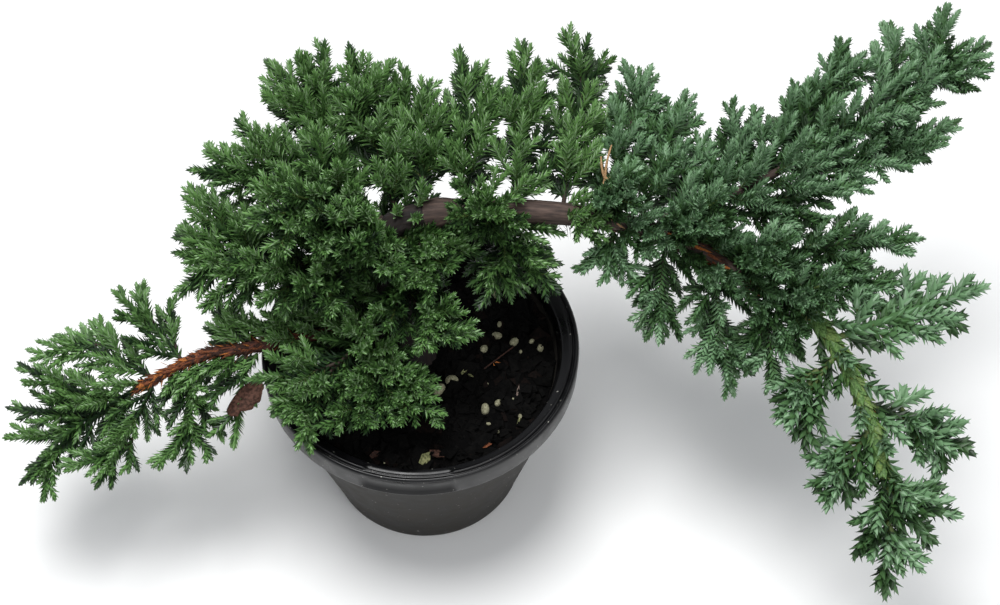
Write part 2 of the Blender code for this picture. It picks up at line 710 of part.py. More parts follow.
def main():
    clear_scene()
    collection = bpy.data.collections.new("juniper_bonsai")
    bpy.context.scene.collection.children.link(collection)

    black_plastic = new_material("black_plastic", (0.012, 0.012, 0.013), 0.42)
    potting_soil = new_material("potting_soil", (0.008, 0.007, 0.006), 0.95)
    bark = new_material("bark", (0.105, 0.060, 0.045), 0.85)
    red_bark = new_material("red_bark", (0.180, 0.065, 0.035), 0.80)
    green_bark = new_material("green_bark", (0.140, 0.170, 0.050), 0.70)
    green_needles = new_material("green_needles", (0.045, 0.120, 0.040), 0.60)
    blue_green_needles = new_material("blue_green_needles", (0.060, 0.135, 0.085), 0.60)

    turned_body("pot", pot_profile(), collection, black_plastic)
    turned_body("soil", soil_profile(), collection, potting_soil)

    paths = limb_paths()
    limbs = {limb.name: limb for limb in LIMBS}
    own_bark = {"left_bough": red_bark, "leader_bough": green_bark}
    for limb in LIMBS:
        limb_tube(limb, paths[limb.name], collection, own_bark.get(limb.name, bark))

    grown = {mass.name: grow_twigs(mass, limbs[mass.limb], paths[mass.limb]) for mass in MASSES}
    space = Space(paths, grown)
    settled = {name: space.settle(name, twigs) for name, twigs in grown.items()}
    for mass in MASSES:
        far_right = mass.name.startswith(("right", "leader", "middle"))
        needles = blue_green_needles if far_right else green_needles
        grow_mass(mass, settled[mass.name], space, collection, needles)


if __name__ == "__main__":
    main()
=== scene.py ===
"""A young prostrate garden juniper in a black nursery pot, dressed for rendering.

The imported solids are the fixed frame. Each piece rides on their one body and stands for one or more of
their nodes. Sizes are in millimetres, and MM turns them into metres when a mesh is made. The trunk, the
boughs and the twigs grow by the same rule and the same seeds as the solids, and the rule goes on here to
shoots, shootlets and needles.
"""

import json
import logging
import math
import random
from dataclasses import dataclass, field
from enum import Enum

import bpy
import numpy as np
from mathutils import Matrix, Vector

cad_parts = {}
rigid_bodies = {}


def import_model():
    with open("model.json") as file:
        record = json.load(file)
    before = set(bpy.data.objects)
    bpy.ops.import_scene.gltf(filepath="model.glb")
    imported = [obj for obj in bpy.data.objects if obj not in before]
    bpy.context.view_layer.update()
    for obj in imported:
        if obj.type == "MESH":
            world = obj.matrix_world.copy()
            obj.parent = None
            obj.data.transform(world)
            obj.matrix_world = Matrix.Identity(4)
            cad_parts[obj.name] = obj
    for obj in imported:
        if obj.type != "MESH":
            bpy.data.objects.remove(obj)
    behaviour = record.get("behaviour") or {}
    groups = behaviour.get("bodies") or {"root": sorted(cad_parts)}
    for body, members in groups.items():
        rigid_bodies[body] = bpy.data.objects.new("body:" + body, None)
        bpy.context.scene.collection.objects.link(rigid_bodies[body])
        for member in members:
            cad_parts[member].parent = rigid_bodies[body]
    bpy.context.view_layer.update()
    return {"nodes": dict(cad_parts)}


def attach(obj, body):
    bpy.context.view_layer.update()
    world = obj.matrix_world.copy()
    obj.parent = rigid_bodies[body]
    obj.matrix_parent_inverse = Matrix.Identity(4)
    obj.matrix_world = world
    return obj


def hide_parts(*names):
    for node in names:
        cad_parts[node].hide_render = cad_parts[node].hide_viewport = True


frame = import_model()

MM = 0.001
UP = np.array([0.0, 0.0, 1.0])
BODY = "root"
LOG = logging.getLogger("juniper")

# The pot's and the soil's driving sizes, as the solids have them.
RIM_RADIUS = 77.5
POT_HEIGHT = 105.0
BASE_RADIUS = 0.64 * RIM_RADIUS
BODY_TOP_RADIUS = 0.93 * RIM_RADIUS
SKIRT_HEIGHT = 14.0
WALL_TOP_RADIUS = 0.89 * RIM_RADIUS
SOIL_TOP = POT_HEIGHT - 12.0
SOIL_FALL = 2.4
SOIL_LEVEL_RADIUS = 22.0

# How limbs and twigs grow, as in the solids. A piece's foot keeps the seat's gap to what carries it, and
# its path leaves straight from it for the collar's length.
SEAT = 0.3
COLLAR = 2.5
ROOT_FLARE = 0.42
ROOT_FLARE_HEIGHT = 7.0
PATH_STEPS = 3
TWIG_POINTS = 4
TWIG_BEND = 0.35
AXIS_BIAS = 6.0
FORK = math.radians(42)
FIRST_FORK = 0.12
TIP_SPRAY = 27.0
# What a leader keeps to other masses' twigs, to limbs and to the pot, tested all along but for its foot.
CROSSING_GAP = 4.2
LIMB_GAP = 1.0
POT_GAP = 1.2
MOUTH_GAP = 4.8
SAMPLE_PITCH = 2.0
FOOT_SAMPLES = 2
# How much further round a limb each shoot of a fringe stands than the last, as a share of the way round.
GOLDEN_SHARE = 0.382
# A dead leaf lies on the foliage beside the rim: its middle, the way out from it, and the room that it keeps.
LEAF_PLACE = np.array([-83.0, -32.0, 103.0])
LEAF_OUT = np.array([0.0, -0.58, 0.815])
LEAF_ROOM = 13.0
LEAF_CLEAR = 40.0
# Stems' tubes by order, as rings and sides.
TUBES = {1: (8, 6), 2: (4, 3), 3: (2, 3)}
# Shades are numbered from 0, the darkest, to this, and the band down a needle's middle may be one lighter.
LIGHTEST = 3

# Short names for types: points or vectors, one to a row, two numbers, a place and a material.
Point = np.ndarray
Pair = tuple[float, float]
Place = tuple[float, float, float]
Material = bpy.types.Material


@dataclass(frozen=True)
class Limb:
    """The trunk or a bough: where it leaves its parent, the points that it passes, and its radii."""

    name: str
    parent: str
    at: float
    points: tuple[Place, ...]
    foot: float
    tip: float


@dataclass(frozen=True)
class Mass:
    """Foliage that fans out from one stem, as in the solids' source.

    Only three tips of the two ends stop up to 5 mm shorter here, so that they stay in the picture. The tips
    spread over the fan, which is centred on the heading, and rise from the first angle to the second, with
    every other one a tier higher. Each reaches so far from the foot.
    """

    name: str
    limb: str
    at: float
    heading: float
    fan: float
    rise: Pair
    reach: tuple[float, ...]
    seed: int
    tier: float = 4.0


LIMBS = (
    Limb(
        "trunk",
        "",
        0.0,
        ((-4, 2, SOIL_TOP), (-8, 12, 118), (-17, 24, 140), (-10, 32, 158), (10, 33, 165)),
        8.2,
        6.3,
    ),
    Limb(
        "main_bough",
        "trunk",
        1.0,
        ((53, 32, 168), (92, 27, 167), (126, 16, 163), (150, 2, 158), (180, -13, 150)),
        6.1,
        3.4,
    ),
    Limb("leader_bough", "main_bough", 1.0, ((197, -36, 143), (209, -64, 130), (212, -80, 122)), 3.1, 1.9),
    Limb("upper_right_bough", "main_bough", 0.58, ((133, 33, 170), (158, 42, 176), (180, 53, 181)), 3.0, 1.8),
    Limb(
        "left_bough",
        "trunk",
        0.24,
        ((-42, 2, 112), (-70, -6, 114), (-88, -10, 114), (-106, -11, 110), (-136, -20, 97)),
        3.2,
        1.9,
    ),
    Limb("left_side_bough", "trunk", 0.50, ((-34, 27, 142), (-50, 21, 147)), 3.0, 1.9),
    Limb("upper_left_bough", "trunk", 0.72, ((-28, 40, 162), (-42, 50, 165)), 3.2, 2.0),
    Limb("front_bough", "trunk", 0.31, ((-20, -6, 121), (-31, -18, 126)), 3.0, 1.9),
)

MASSES = (
    Mass("left_end", "left_bough", 1.0, 200, 60, (2, -22), (60, 66, 67, 74, 70), 1),
    Mass("left_outer_back", "left_bough", 0.93, 155, 34, (7, -5), (42, 58, 62), 40),
    Mass("left_outer_front", "left_bough", 0.93, 240, 34, (-14, -20), (60, 58, 46), 41),
    Mass("left_arm_back", "left_bough", 0.80, 130, 50, (26, 2), (30, 44, 50, 46), 2),
    Mass("left_arm_middle", "left_bough", 0.60, 112, 60, (10, 6), (26, 32, 38), 3),
    Mass("left_arm_front", "left_bough", 0.80, 280, 56, (-26, -34), (50, 50, 46, 38), 4),
    Mass("left_arm_inner", "left_bough", 0.55, 250, 64, (-24, -42), (34, 44, 46, 26), 5),
    Mass("dome_left", "left_side_bough", 1.0, 181, 58, (10, -9), (70, 68, 66, 66, 58), 6),
    Mass("dome_middle_left", "upper_left_bough", 0.62, 212, 50, (20, 22), (48, 50, 52, 56), 42, 8),
    Mass("dome_upper_left", "upper_left_bough", 1.0, 168, 46, (7, -3), (58, 66, 68, 68), 7),
    Mass("dome_top", "upper_left_bough", 0.80, 110, 46, (31, 12), (76, 76, 72, 80, 62), 8),
    Mass("dome_top_right", "trunk", 0.80, 108, 36, (28, 36), (72, 84, 64), 9),
    Mass("dome_crown", "upper_left_bough", 0.30, 190, 110, (42, 32), (50, 46, 52, 48), 10, 10),
    Mass("dome_front", "left_side_bough", 0.60, 234, 70, (12, 24), (58, 50, 46, 44), 11, 10),
    Mass("dome_crown_front", "trunk", 0.66, 245, 90, (48, 42), (56, 50, 50, 44), 12, 10),
    Mass("front_left", "front_bough", 1.0, 225, 50, (-2, -10), (52, 48, 50, 54), 13),
    Mass("front_middle", "front_bough", 0.70, 290, 84, (-2, -4), (53, 46, 48, 55, 36), 14),
    Mass("trunk_front", "trunk", 0.50, 296, 56, (12, 0), (42, 50, 58, 54), 15),
    Mass("trunk_front_upper", "trunk", 0.88, 296, 84, (0, 4), (34, 42, 32, 36), 16),
    Mass("back_left", "trunk", 0.95, 94, 32, (24, 18), (48, 64, 68, 76), 17),
    Mass("back_middle_left", "main_bough", 0.08, 89, 30, (12, 16), (50, 76, 80, 48), 18),
    Mass("back_middle", "main_bough", 0.20, 83, 24, (14, 13), (58, 76, 84, 56), 19),
    Mass("back_middle_right", "main_bough", 0.32, 85, 28, (8, 15), (84, 92, 92, 70), 20),
    Mass("back_right", "main_bough", 0.43, 78, 28, (11, 10), (66, 88, 80, 90), 21),
    Mass("right_plume", "main_bough", 0.52, 65, 28, (14, 8), (44, 62, 72, 46), 22),
    Mass("right_inner_back", "upper_right_bough", 0.12, 66, 30, (16, 14), (36, 46, 40), 43),
    Mass("right_back", "upper_right_bough", 0.38, 60, 34, (14, 16), (46, 54, 50), 23),
    Mass("right_back_outer", "upper_right_bough", 0.70, 56, 20, (10, 8), (58, 68, 56), 24),
    Mass("right_top", "upper_right_bough", 0.92, 55, 20, (12, 11), (66, 76, 72), 44),
    Mass("right_end", "upper_right_bough", 1.0, 41, 34, (5, 9), (104, 122, 112, 97), 25),
    Mass("right_end_front", "upper_right_bough", 0.85, 22, 20, (2, 4), (76, 97, 80), 26),
    Mass("right_inner", "upper_right_bough", 0.50, 350, 30, (-14, 3), (34, 46, 58), 27),
    Mass("right_middle", "main_bough", 0.80, 21, 24, (-2, 1), (88, 78, 60), 28),
    Mass("right_lower", "main_bough", 0.93, 10, 32, (-6, 0), (44, 60, 46), 29),
    Mass("bough_crown_left", "main_bough", 0.14, 240, 120, (44, 40), (30, 32, 34, 28), 45, 10),
    Mass("bough_crown_middle", "main_bough", 0.40, 345, 110, (52, 40), (28, 32, 34, 32), 46, 8),
    Mass("bough_crown_right", "main_bough", 0.60, 335, 100, (48, 44), (32, 36, 40, 34), 47, 8),
    Mass("bough_crown_outer", "main_bough", 0.78, 335, 90, (38, 40), (32, 36, 38, 32), 48, 8),
    Mass("bough_crown_end", "main_bough", 0.94, 330, 90, (34, 38), (24, 30, 32, 28), 49, 8),
    Mass("under_bough", "main_bough", 0.16, 300, 100, (-48, -30), (42, 36, 43, 32), 30, 8),
    Mass("middle_left", "main_bough", 0.46, 262, 90, (-34, -36), (26, 24, 28), 31),
    Mass("middle_front", "main_bough", 0.60, 256, 64, (-42, -42), (32, 42, 46, 44), 32),
    Mass("middle_low", "main_bough", 0.74, 276, 56, (-54, -44), (34, 46, 62, 54), 33),
    Mass("middle_right", "main_bough", 0.90, 264, 84, (-56, -30), (26, 36, 42, 28), 34),
    Mass("leader_right", "leader_bough", 0.22, 16, 32, (-9, -1), (50, 66, 80, 50), 35),
    Mass("leader_left", "leader_bough", 0.30, 229, 44, (-10, -24), (34, 40, 42, 46), 36),
    Mass("leader_low_left", "leader_bough", 0.76, 231, 50, (-23, -42), (32, 38, 42, 38), 37),
    Mass("leader_low_right", "leader_bough", 0.62, 334, 40, (-28, -22), (38, 50, 56, 34), 38),
    Mass("leader_end", "leader_bough", 1.0, 306, 110, (-40, -24), (40, 60, 50, 44, 42, 36), 39),
)


# The sRGB curve: a straight line below the knee, and above it a power of the value with an offset.
SRGB_KNEE = 0.04045
SRGB_SLOPE = 12.92
SRGB_OFFSET = 0.055
SRGB_POWER = 2.4


def linear(code: str) -> tuple[float, float, float, float]:
    """Turns an sRGB hex colour to Blender's linear one.

    Args:
        code: The colour, such as "#4a7a63".

    Returns:
        Red, green, blue and an alpha of 1.
    """
    parts = [int(code[at : at + 2], 16) / 255 for at in (1, 3, 5)]
    turned = [
        part / SRGB_SLOPE if part <= SRGB_KNEE else ((part + SRGB_OFFSET) / (1 + SRGB_OFFSET)) ** SRGB_POWER
        for part in parts
    ]
    return turned[0], turned[1], turned[2], 1.0


def add_node(
    tree: bpy.types.NodeTree, kind: str, settings: dict[str, object], links: dict[str, bpy.types.NodeSocket]
) -> bpy.types.Node:
    """Adds a shader node.

    Args:
        tree: The material's node tree.
        kind: The node's type, without "ShaderNode".
        settings: A value for each named property, or else for each named input. A colour ramp's stops are
            pairs of a position and a hex colour.
        links: The socket that feeds each named input.

    Returns:
        The new node.
    """
    node = tree.nodes.new("ShaderNode" + kind)
    for name, value in settings.items():
        if name == "stops":
            given = list(node.color_ramp.elements)
            for place, code in value:
                stop = given.pop(0) if given else node.color_ramp.elements.new(place)
                stop.position = place
                stop.color = linear(code)
        elif hasattr(node, name):
            setattr(node, name, value)
        else:
            node.inputs[name].default_value = value
    for name, socket in links.items():
        tree.links.new(socket, node.inputs[name])
    return node


def new_material(name: str) -> tuple[Material, bpy.types.NodeTree, bpy.types.Node]:
    """Makes a material with a Principled shader.

    Args:
        name: The material's name.

    Returns:
        The material, its node tree and its Principled node.
    """
    material = bpy.data.materials.new(name)
    material.use_nodes = True
    tree = material.node_tree
    return material, tree, tree.nodes["Principled BSDF"]


def unit(vectors: Point) -> Point:
    """Scales each vector to a length of 1."""
    return vectors / np.linalg.norm(vectors, axis=-1, keepdims=True)


def square_to(vectors: Point, ahead: Point) -> Point:
    """The unit vector along the part of each vector that is square to the direction ahead."""
    return unit(vectors - ahead * np.sum(vectors * ahead, axis=-1, keepdims=True))


def between(pair: Pair, share: float | np.ndarray) -> float | np.ndarray:
    """The value at a share of the way from the pair's first number to its second."""
    return pair[0] + (pair[1] - pair[0]) * share


def aim(heading: float, rise: float) -> Point:
    """The unit vector at a compass heading, anticlockwise from +X, and a rise, both in degrees."""
    turn = math.radians(heading)
    lift = math.radians(rise)
    return np.array([math.cos(turn) * math.cos(lift), math.sin(turn) * math.cos(lift), math.sin(lift)])


def bezier(start: Point, pull: Point, tip: Point, share: float | np.ndarray) -> Point:
    """The point at a share of a quadratic curve, which sets off from its start towards its pull."""
    return (1 - share) ** 2 * start + 2 * share * (1 - share) * pull + share**2 * tip


def bezier_ahead(start: Point, pull: Point, tip: Point, share: float | np.ndarray) -> Point:
    """The direction of such a curve at a share of it."""
    return unit((1 - share) * (pull - start) + share * (tip - pull))


def smooth_path(points: list[Point], steps: int) -> Point:
    """Draws a Catmull-Rom curve through points.

    Args:
        points: The points that it passes.
        steps: How many straight pieces lie between two of them.

    Returns:
        The curve's points, one to a row.
    """
    given = np.array(points, float)
    ends = np.vstack([2 * given[0] - given[1], given, 2 * given[-1] - given[-2]])
    path = []
    for before, start, end, after in zip(ends, ends[1:], ends[2:], ends[3:]):
        for step in range(steps):
            t = step / steps
            linear_part = (end - before) * t
            square_part = (2 * before - 5 * start + 4 * end - after) * t**2
            cube_part = (3 * start - before - 3 * end + after) * t**3
            path.append(0.5 * (2 * start + linear_part + square_part + cube_part))
    path.append(given[-1])
    return np.array(path)


def lengths_along(path: Point) -> np.ndarray:
    """How far along the path each of its points lies."""
    return np.concatenate([[0.0], np.cumsum(np.linalg.norm(np.diff(path, axis=0), axis=1))])


def point_along(path: Point, share: float) -> tuple[Point, Point]:
    """The point at a share of the path's length, and the path's direction there."""
    run = lengths_along(path)
    reached = share * run[-1]
    point = np.array([np.interp(reached, run, path[:, axis]) for axis in range(3)])
    piece = min(int(np.searchsorted(run, reached, side="right")) - 1, len(path) - 2)
    return point, unit(path[piece + 1] - path[piece])


def resampled(path: Point, pitch: float) -> Point:
    """The path's points again, evenly spaced at about the pitch."""
    run = lengths_along(path)
    reached = np.linspace(0, run[-1], max(2, round(run[-1] / pitch) + 1))
    return np.stack([np.interp(reached, run, path[:, axis]) for axis in range(3)], axis=1)


# Large odd numbers and shifts that turn a cell's place and a seed into a key that looks random, 32 bits long.
CELL_STEPS = np.array([73856093, 19349663, 83492791])
SEED_STEP = 2654435761
KEY_MIXES = ((15, 2246822519), (13, 3266489917))
LAST_SHIFT = 16
KEY_BITS = 0xFFFFFFFF
VALUE_BITS = 0xFFFF
HALF_VALUE = 0x7FFF


def value_noise(points: Point, seed: int) -> np.ndarray:
    """Gives smooth noise, with lumps about one unit wide.

    Args:
        points: Where to read it, one point to a row.
        seed: Picks one pattern.

    Returns:
        A value between -1 and 1 for each point.
    """
    cells = np.floor(points).astype(np.int64)
    part = points - cells
    part = part * part * (3 - 2 * part)
    total = np.zeros(len(points))
    for corner in np.ndindex(2, 2, 2):
        key = (cells + corner) @ CELL_STEPS + seed * SEED_STEP
        for shift, factor in KEY_MIXES:
            key = ((key ^ (key >> shift)) * factor) & KEY_BITS
        weight = np.prod(np.where(corner, part, 1 - part), axis=1)
        total += weight * ((key ^ (key >> LAST_SHIFT)) & VALUE_BITS) / HALF_VALUE
    return total - 1


def mesh_piece(
    name: str, points: Point, faces: np.ndarray, materials: list[Material], smooth: bool
) -> bpy.types.Object:
    """Makes an object from arrays, riding on the frame's body.

    Args:
        name: The piece's name.
        points: Its points in millimetres, one to a row.
        faces: The corners of each face, all triangles or all quads.
        materials: Its materials, the first for every face unless the caller deals them out.
        smooth: Whether its faces are shaded smooth.

    Returns:
        The new object.
    """
    mesh = bpy.data.meshes.new(name)
    count, corners = faces.shape
    mesh.vertices.add(len(points))
    mesh.vertices.foreach_set("co", (points * MM).astype(np.float32).ravel())
    mesh.loops.add(count * corners)
    mesh.loops.foreach_set("vertex_index", faces.astype(np.int32).ravel())
    mesh.polygons.add(count)
    mesh.polygons.foreach_set("loop_start", np.arange(0, count * corners, corners, dtype=np.int32))
    mesh.update(calc_edges=True)
    mesh.polygons.foreach_set("use_smooth", np.full(count, smooth))
    for material in materials:
        mesh.materials.append(material)
    piece = bpy.data.objects.new(name, mesh)
    bpy.context.scene.collection.objects.link(piece)
    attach(piece, BODY)
    LOG.info("%s: %d faces", name, count)
    return piece


def tube_faces(rings: int, sides: int) -> np.ndarray:
    """Works out the quads between rings of points, ring after ring.

    Args:
        rings: How many rings there are.
        sides: How many points a ring has.

    Returns:
        The corners of each quad: a point, the one after it on the next ring, and the two beside those.
    """
    rows = np.arange(rings - 1)[:, None] * sides
    column = np.arange(sides)
    beside = (column + 1) % sides
    corners = (rows + column, rows + sides + column, rows + sides + beside, rows + beside)
    return np.stack(corners, axis=2).reshape(-1, 4)


def repeated_faces(pattern: np.ndarray, count: int, points: int) -> np.ndarray:
    """The pattern's faces for each of so many copies, whose points follow each other."""
    return (np.arange(count)[:, None, None] * points + pattern).reshape(-1, pattern.shape[1])


def deal_materials(piece: bpy.types.Object, chosen: np.ndarray) -> None:
    """Gives each of the piece's faces the material slot that is chosen for it."""
    piece.data.polygons.foreach_set("material_index", chosen.astype(np.int32))


# A blade's five corners make three faces: a middle band from root to tip between two sides. It is widest at
# this share of its length, and its sides stand off the band by this share of its half width.
BLADE_CORNERS = 5
BLADE_FACES = np.array([[0, 3, 1], [0, 4, 3], [1, 3, 2]])
WIDEST_AT = 0.5
FOLD = 0.45


def blades(
    roots: Point,
    heading: Point,
    outward: Point,
    length: np.ndarray,
    half_width: np.ndarray,
    root_width: float,
) -> Point:
    """Works out the corners of small blades, such as needles and flakes of bark.

    Args:
        roots: Each blade's root.
        heading: The unit vector towards its tip.
        outward: The unit vector out of its back.
        length: Its length, in a column.
        half_width: Half its width, in a column.
        root_width: The root's width as a share of the blade's.

    Returns:
        Five corners for each blade: the root's two, one side, the tip and the other side.
    """
    aside = np.cross(heading, outward) * half_width
    middle = roots + heading * length * WIDEST_AT - outward * half_width * FOLD
    foot = aside * root_width
    corners = (roots - foot, roots + foot, middle + aside, roots + heading * length, middle - aside)
    return np.stack(corners, axis=1)


class Form:
    """The plant's limbs and twigs, grown by the rule and the seeds that the solids have."""

    def __init__(self) -> None:
        """Grows every limb, then every mass's twigs."""
        self.limbs = {limb.name: limb for limb in LIMBS}
        self.paths: dict[str, Point] = {}
        for limb in LIMBS:
            self.paths[limb.name] = self._limb_path(limb)
        samples = [self._samples(self.paths[limb.name]) for limb in LIMBS]
        self.limb_points = np.vstack(samples)
        self.limb_radii = np.concatenate([self.radii(limb, path) for limb, path in zip(LIMBS, samples)])
        grown = {mass.name: self._twigs(mass) for mass in MASSES}
        self.reached = {name: self._samples(twigs[0]) for name, twigs in grown.items()}
        self.twigs = {name: self._settled(name, twigs) for name, twigs in grown.items()}

    @staticmethod
    def radius(limb: Limb, share: float, run: float) -> float:
        """The limb's radius at a share of its length, which is a run in mm. The trunk flares at its root."""
        radius = limb.foot + (limb.tip - limb.foot) * share
        if not limb.parent:
            radius *= 1 + ROOT_FLARE * math.exp(-run / ROOT_FLARE_HEIGHT)
        return radius

    def radii(self, limb: Limb, path: Point) -> np.ndarray:
        """The limb's radius at each of the path's points."""
        run = lengths_along(path)
        return np.array([self.radius(limb, reached / run[-1], reached) for reached in run])

    def _seat(self, limb: Limb, share: float, towards: Point) -> tuple[Point, Point]:
        """The point and direction of a piece's foot on the limb's tip or, below it, on its side."""
        path = self.paths[limb.name]
        point, direction = point_along(path, share)
        if share >= 1:
            return point + direction * SEAT, direction
        outward = unit(towards - direction * (towards @ direction))
        radius = self.radius(limb, share, share * lengths_along(path)[-1])
        return point + outward * (radius + SEAT), outward

    def _limb_path(self, limb: Limb) -> Point:
        """The limb's path from its seat to its tip."""
        points = [np.array(point, float) for point in limb.points]
        if limb.parent:
            near, _ = point_along(self.paths[limb.parent], limb.at)
            foot, direction = self._seat(self.limbs[limb.parent], limb.at, points[0] - near)
        else:
            direction = UP
            foot = points.pop(0) + direction * SEAT
        return np.vstack([foot, smooth_path([foot + direction * COLLAR, *points], PATH_STEPS)])

    @staticmethod
    def _samples(path: Point) -> Point:
        """Points all along the path, close together."""
        count = max(2, int(lengths_along(path)[-1] / SAMPLE_PITCH))
        return np.array([point_along(path, number / (count - 1))[0] for number in range(count)])

    @staticmethod
    def _bent(start: Point, tip: Point, ahead: Point) -> Point:
        """A twig from start to tip, as a quadratic Bezier curve that sets off towards the direction ahead."""
        pull = start + ahead * TWIG_BEND * np.linalg.norm(tip - start)
        return bezier(start, pull, tip, np.linspace(0, 1, TWIG_POINTS)[:, None])

    def _twigs(self, mass: Mass) -> list[Point]:
        """The mass's twigs: an axis to its furthest tip, and leaders that fork off it to the others."""
        middle = aim(mass.heading, sum(mass.rise) / 2)
        foot, direction = self._seat(self.limbs[mass.limb], mass.at, middle)
        last = len(mass.reach) - 1
        tips = []
        for number, reach in enumerate(mass.reach):
            heading = mass.heading + mass.fan * (number / last - 0.5)
            rise = between(mass.rise, number / last) + mass.tier * (-1) ** number
            tips.append(foot + aim(heading, rise) * reach)
        fitness = [reach - AXIS_BIAS * abs(number - last / 2) for number, reach in enumerate(mass.reach)]
        central = fitness.index(max(fitness))
        ahead = unit(direction + middle)
        axis = np.vstack([foot, self._bent(foot + direction * COLLAR, tips.pop(central), ahead)])
        ahead = unit(axis[-1] - foot)
        length = lengths_along(axis)[-1]
        last_fork = max(FIRST_FORK, 1 - TIP_SPRAY / length)
        leaders = []
        for tip in tips:
            along = (tip - foot) @ ahead
            aside = np.linalg.norm(tip - foot - ahead * along)
            share = float(np.clip((along - aside / math.tan(FORK)) / length, FIRST_FORK, last_fork))
            start, forward = point_along(axis, share)
            leaders.append(self._bent(start, tip, forward))
        return [axis, *leaders]

    def _settled(self, name: str, twigs: list[Point]) -> list[Point]:
        """Drops the leaders that come too near to another mass's twigs, to a limb or to the pot."""
        kept = [twigs[0]]
        for leader in twigs[1:]:
            points = self._samples(leader)
            others = [samples for other, samples in self.reached.items() if other != name]
            apart = all((nearest(points, samples) > CROSSING_GAP).all() for samples in others)
            grown = points[FOOT_SAMPLES:]
            if apart and self.clear_of_limbs(grown, LIMB_GAP).all() and clear_of_pot(grown).all():
                kept.append(leader)
        self.reached[name] = np.vstack([self._samples(twig) for twig in kept])
        return kept

    def clear_of_limbs(self, points: Point, gap: float) -> np.ndarray:
        """Whether each point is further than the gap from every limb's bark."""
        away = np.linalg.norm(points[:, None] - self.limb_points, axis=2)
        return (away > self.limb_radii + gap).all(axis=1)


def nearest(points: Point, samples: Point) -> np.ndarray:
    """How far each point is from the nearest sample."""
    return np.linalg.norm(points[:, None] - samples, axis=2).min(axis=1)


def clear_of_pot(points: Point) -> np.ndarray:
    """Whether each point is outside the pot, or over the soil within its mouth, and above the ground."""
    radius = np.hypot(points[:, 0], points[:, 1])
    height = points[:, 2]
    outside = (radius > RIM_RADIUS + POT_GAP) | (height > POT_HEIGHT + POT_GAP)
    in_mouth = (radius < WALL_TOP_RADIUS - MOUTH_GAP) & (height > SOIL_TOP + POT_GAP)
    return (outside | in_mouth) & (height > POT_GAP)


@dataclass(frozen=True)
class Juniper:
    """Living juniper tissue, a waxy skin: plain colours, since each spray is dealt one of them."""

    name: str
    colour: str
    roughness: float = 0.45
    ior: float = 1.45

    def dress(self) -> Material:
        """Makes the material. A wax bloom dulls the gloss, so the eye sees soft light along each blade."""
        material, _, shader = new_material(self.name)
        shader.inputs["Base Color"].default_value = linear(self.colour)
        shader.inputs["Roughness"].default_value = self.roughness
        shader.inputs["IOR"].default_value = self.ior
        return material


class Shade(Enum):
    """The plain colours that sprays are dealt, from deep shade to fresh tips."""

    DEEP = Juniper("juniper_needles_deep", "#172b17")
    MID = Juniper("juniper_needles_mid", "#2b4522")
    GRASS = Juniper("juniper_needles_grass", "#416231")
    FRESH = Juniper("juniper_needles_fresh", "#608749")
    BLOOM = Juniper("juniper_needles_bloom", "#9ab68c")
    BLUE_DEEP = Juniper("juniper_needles_blue_deep", "#1e321a")
    BLUE = Juniper("juniper_needles_blue", "#35532b")
    BLUE_TIP = Juniper("juniper_needles_blue_tip", "#4b6d43")
    GLAUCOUS = Juniper("juniper_needles_glaucous", "#698c65")
    BLUE_BLOOM = Juniper("juniper_needles_blue_bloom", "#93b090")
    STEM = Juniper("juniper_stem_green", "#4c5b2a", 0.6)
    OLD_STEM = Juniper("juniper_stem_brown", "#2a1e15", 0.75)


@dataclass(frozen=True)
class Habit:
    """How one part of the crown grows. Lengths are in mm and angles in degrees.

    A needle's length and opening are given far from a stem's tip and at its tip, where the needles close up
    like a bud, and the bud is how far back from the tip that is felt. The whorl is the pitch of the whorls.
    """

    needle: Pair
    width: float
    opening: Pair
    bud: float
    whorl: float
    shoot: Pair
    shoot_pitch: float
    # A shoot leaves at the first angle near its twig's foot, and at the second near its tip.
    shoot_opening: Pair
    roll: Pair
    shades: tuple[Shade, ...]
    # A shoot's length as a share of its twig's, at the twig's foot and at its tip.
    shoot_share: Pair = (0.42, 0.26)
    shootlet: Pair = (7.0, 11.0)
    shootlet_pitch: float = 6.5
    stem: float = 1.0
    # The share of needles that are a shade lighter or darker than their neighbours.
    mottle: float = 0.3
    # How much of a twig, from its foot, has brown bark.
    woody: float = 0.6


GREEN = (Shade.DEEP, Shade.MID, Shade.GRASS, Shade.FRESH, Shade.BLOOM)
BLUE_GREEN = (Shade.BLUE_DEEP, Shade.BLUE, Shade.BLUE_TIP, Shade.GLAUCOUS, Shade.BLUE_BLOOM)
ARM = Habit(
    needle=(6.2, 3.6), width=1.9, opening=(47, 18), bud=4.8, whorl=1.1, shades=GREEN, woody=0.2,
    shoot=(8.0, 21.0), shoot_pitch=4.2, shoot_opening=(50, 34), roll=(-60, 80), shoot_share=(0.44, 0.3),
)
DOME = Habit(
    needle=(7.0, 4.2), width=1.65, opening=(54, 23), bud=4.4, whorl=1.15, shades=GREEN,
    shoot=(10.0, 28.0), shoot_pitch=2.6, shoot_opening=(60, 36), roll=(-85, 95), shoot_share=(0.55, 0.32),
)
FRONT = Habit(
    needle=(6.2, 3.9), width=1.85, opening=(50, 22), bud=4.2, whorl=1.3, shades=GREEN,
    shoot=(10.0, 26.0), shoot_pitch=2.5, shoot_opening=(60, 40), roll=(-80, 110), shoot_share=(0.6, 0.38),
)
BACK = Habit(
    needle=(6.8, 4.2), width=1.6, opening=(52, 22), bud=5.0, whorl=1.15, shades=GREEN,
    shoot=(10.0, 30.0), shoot_pitch=2.9, shoot_opening=(58, 34), roll=(-80, 90), shoot_share=(0.66, 0.32),
)
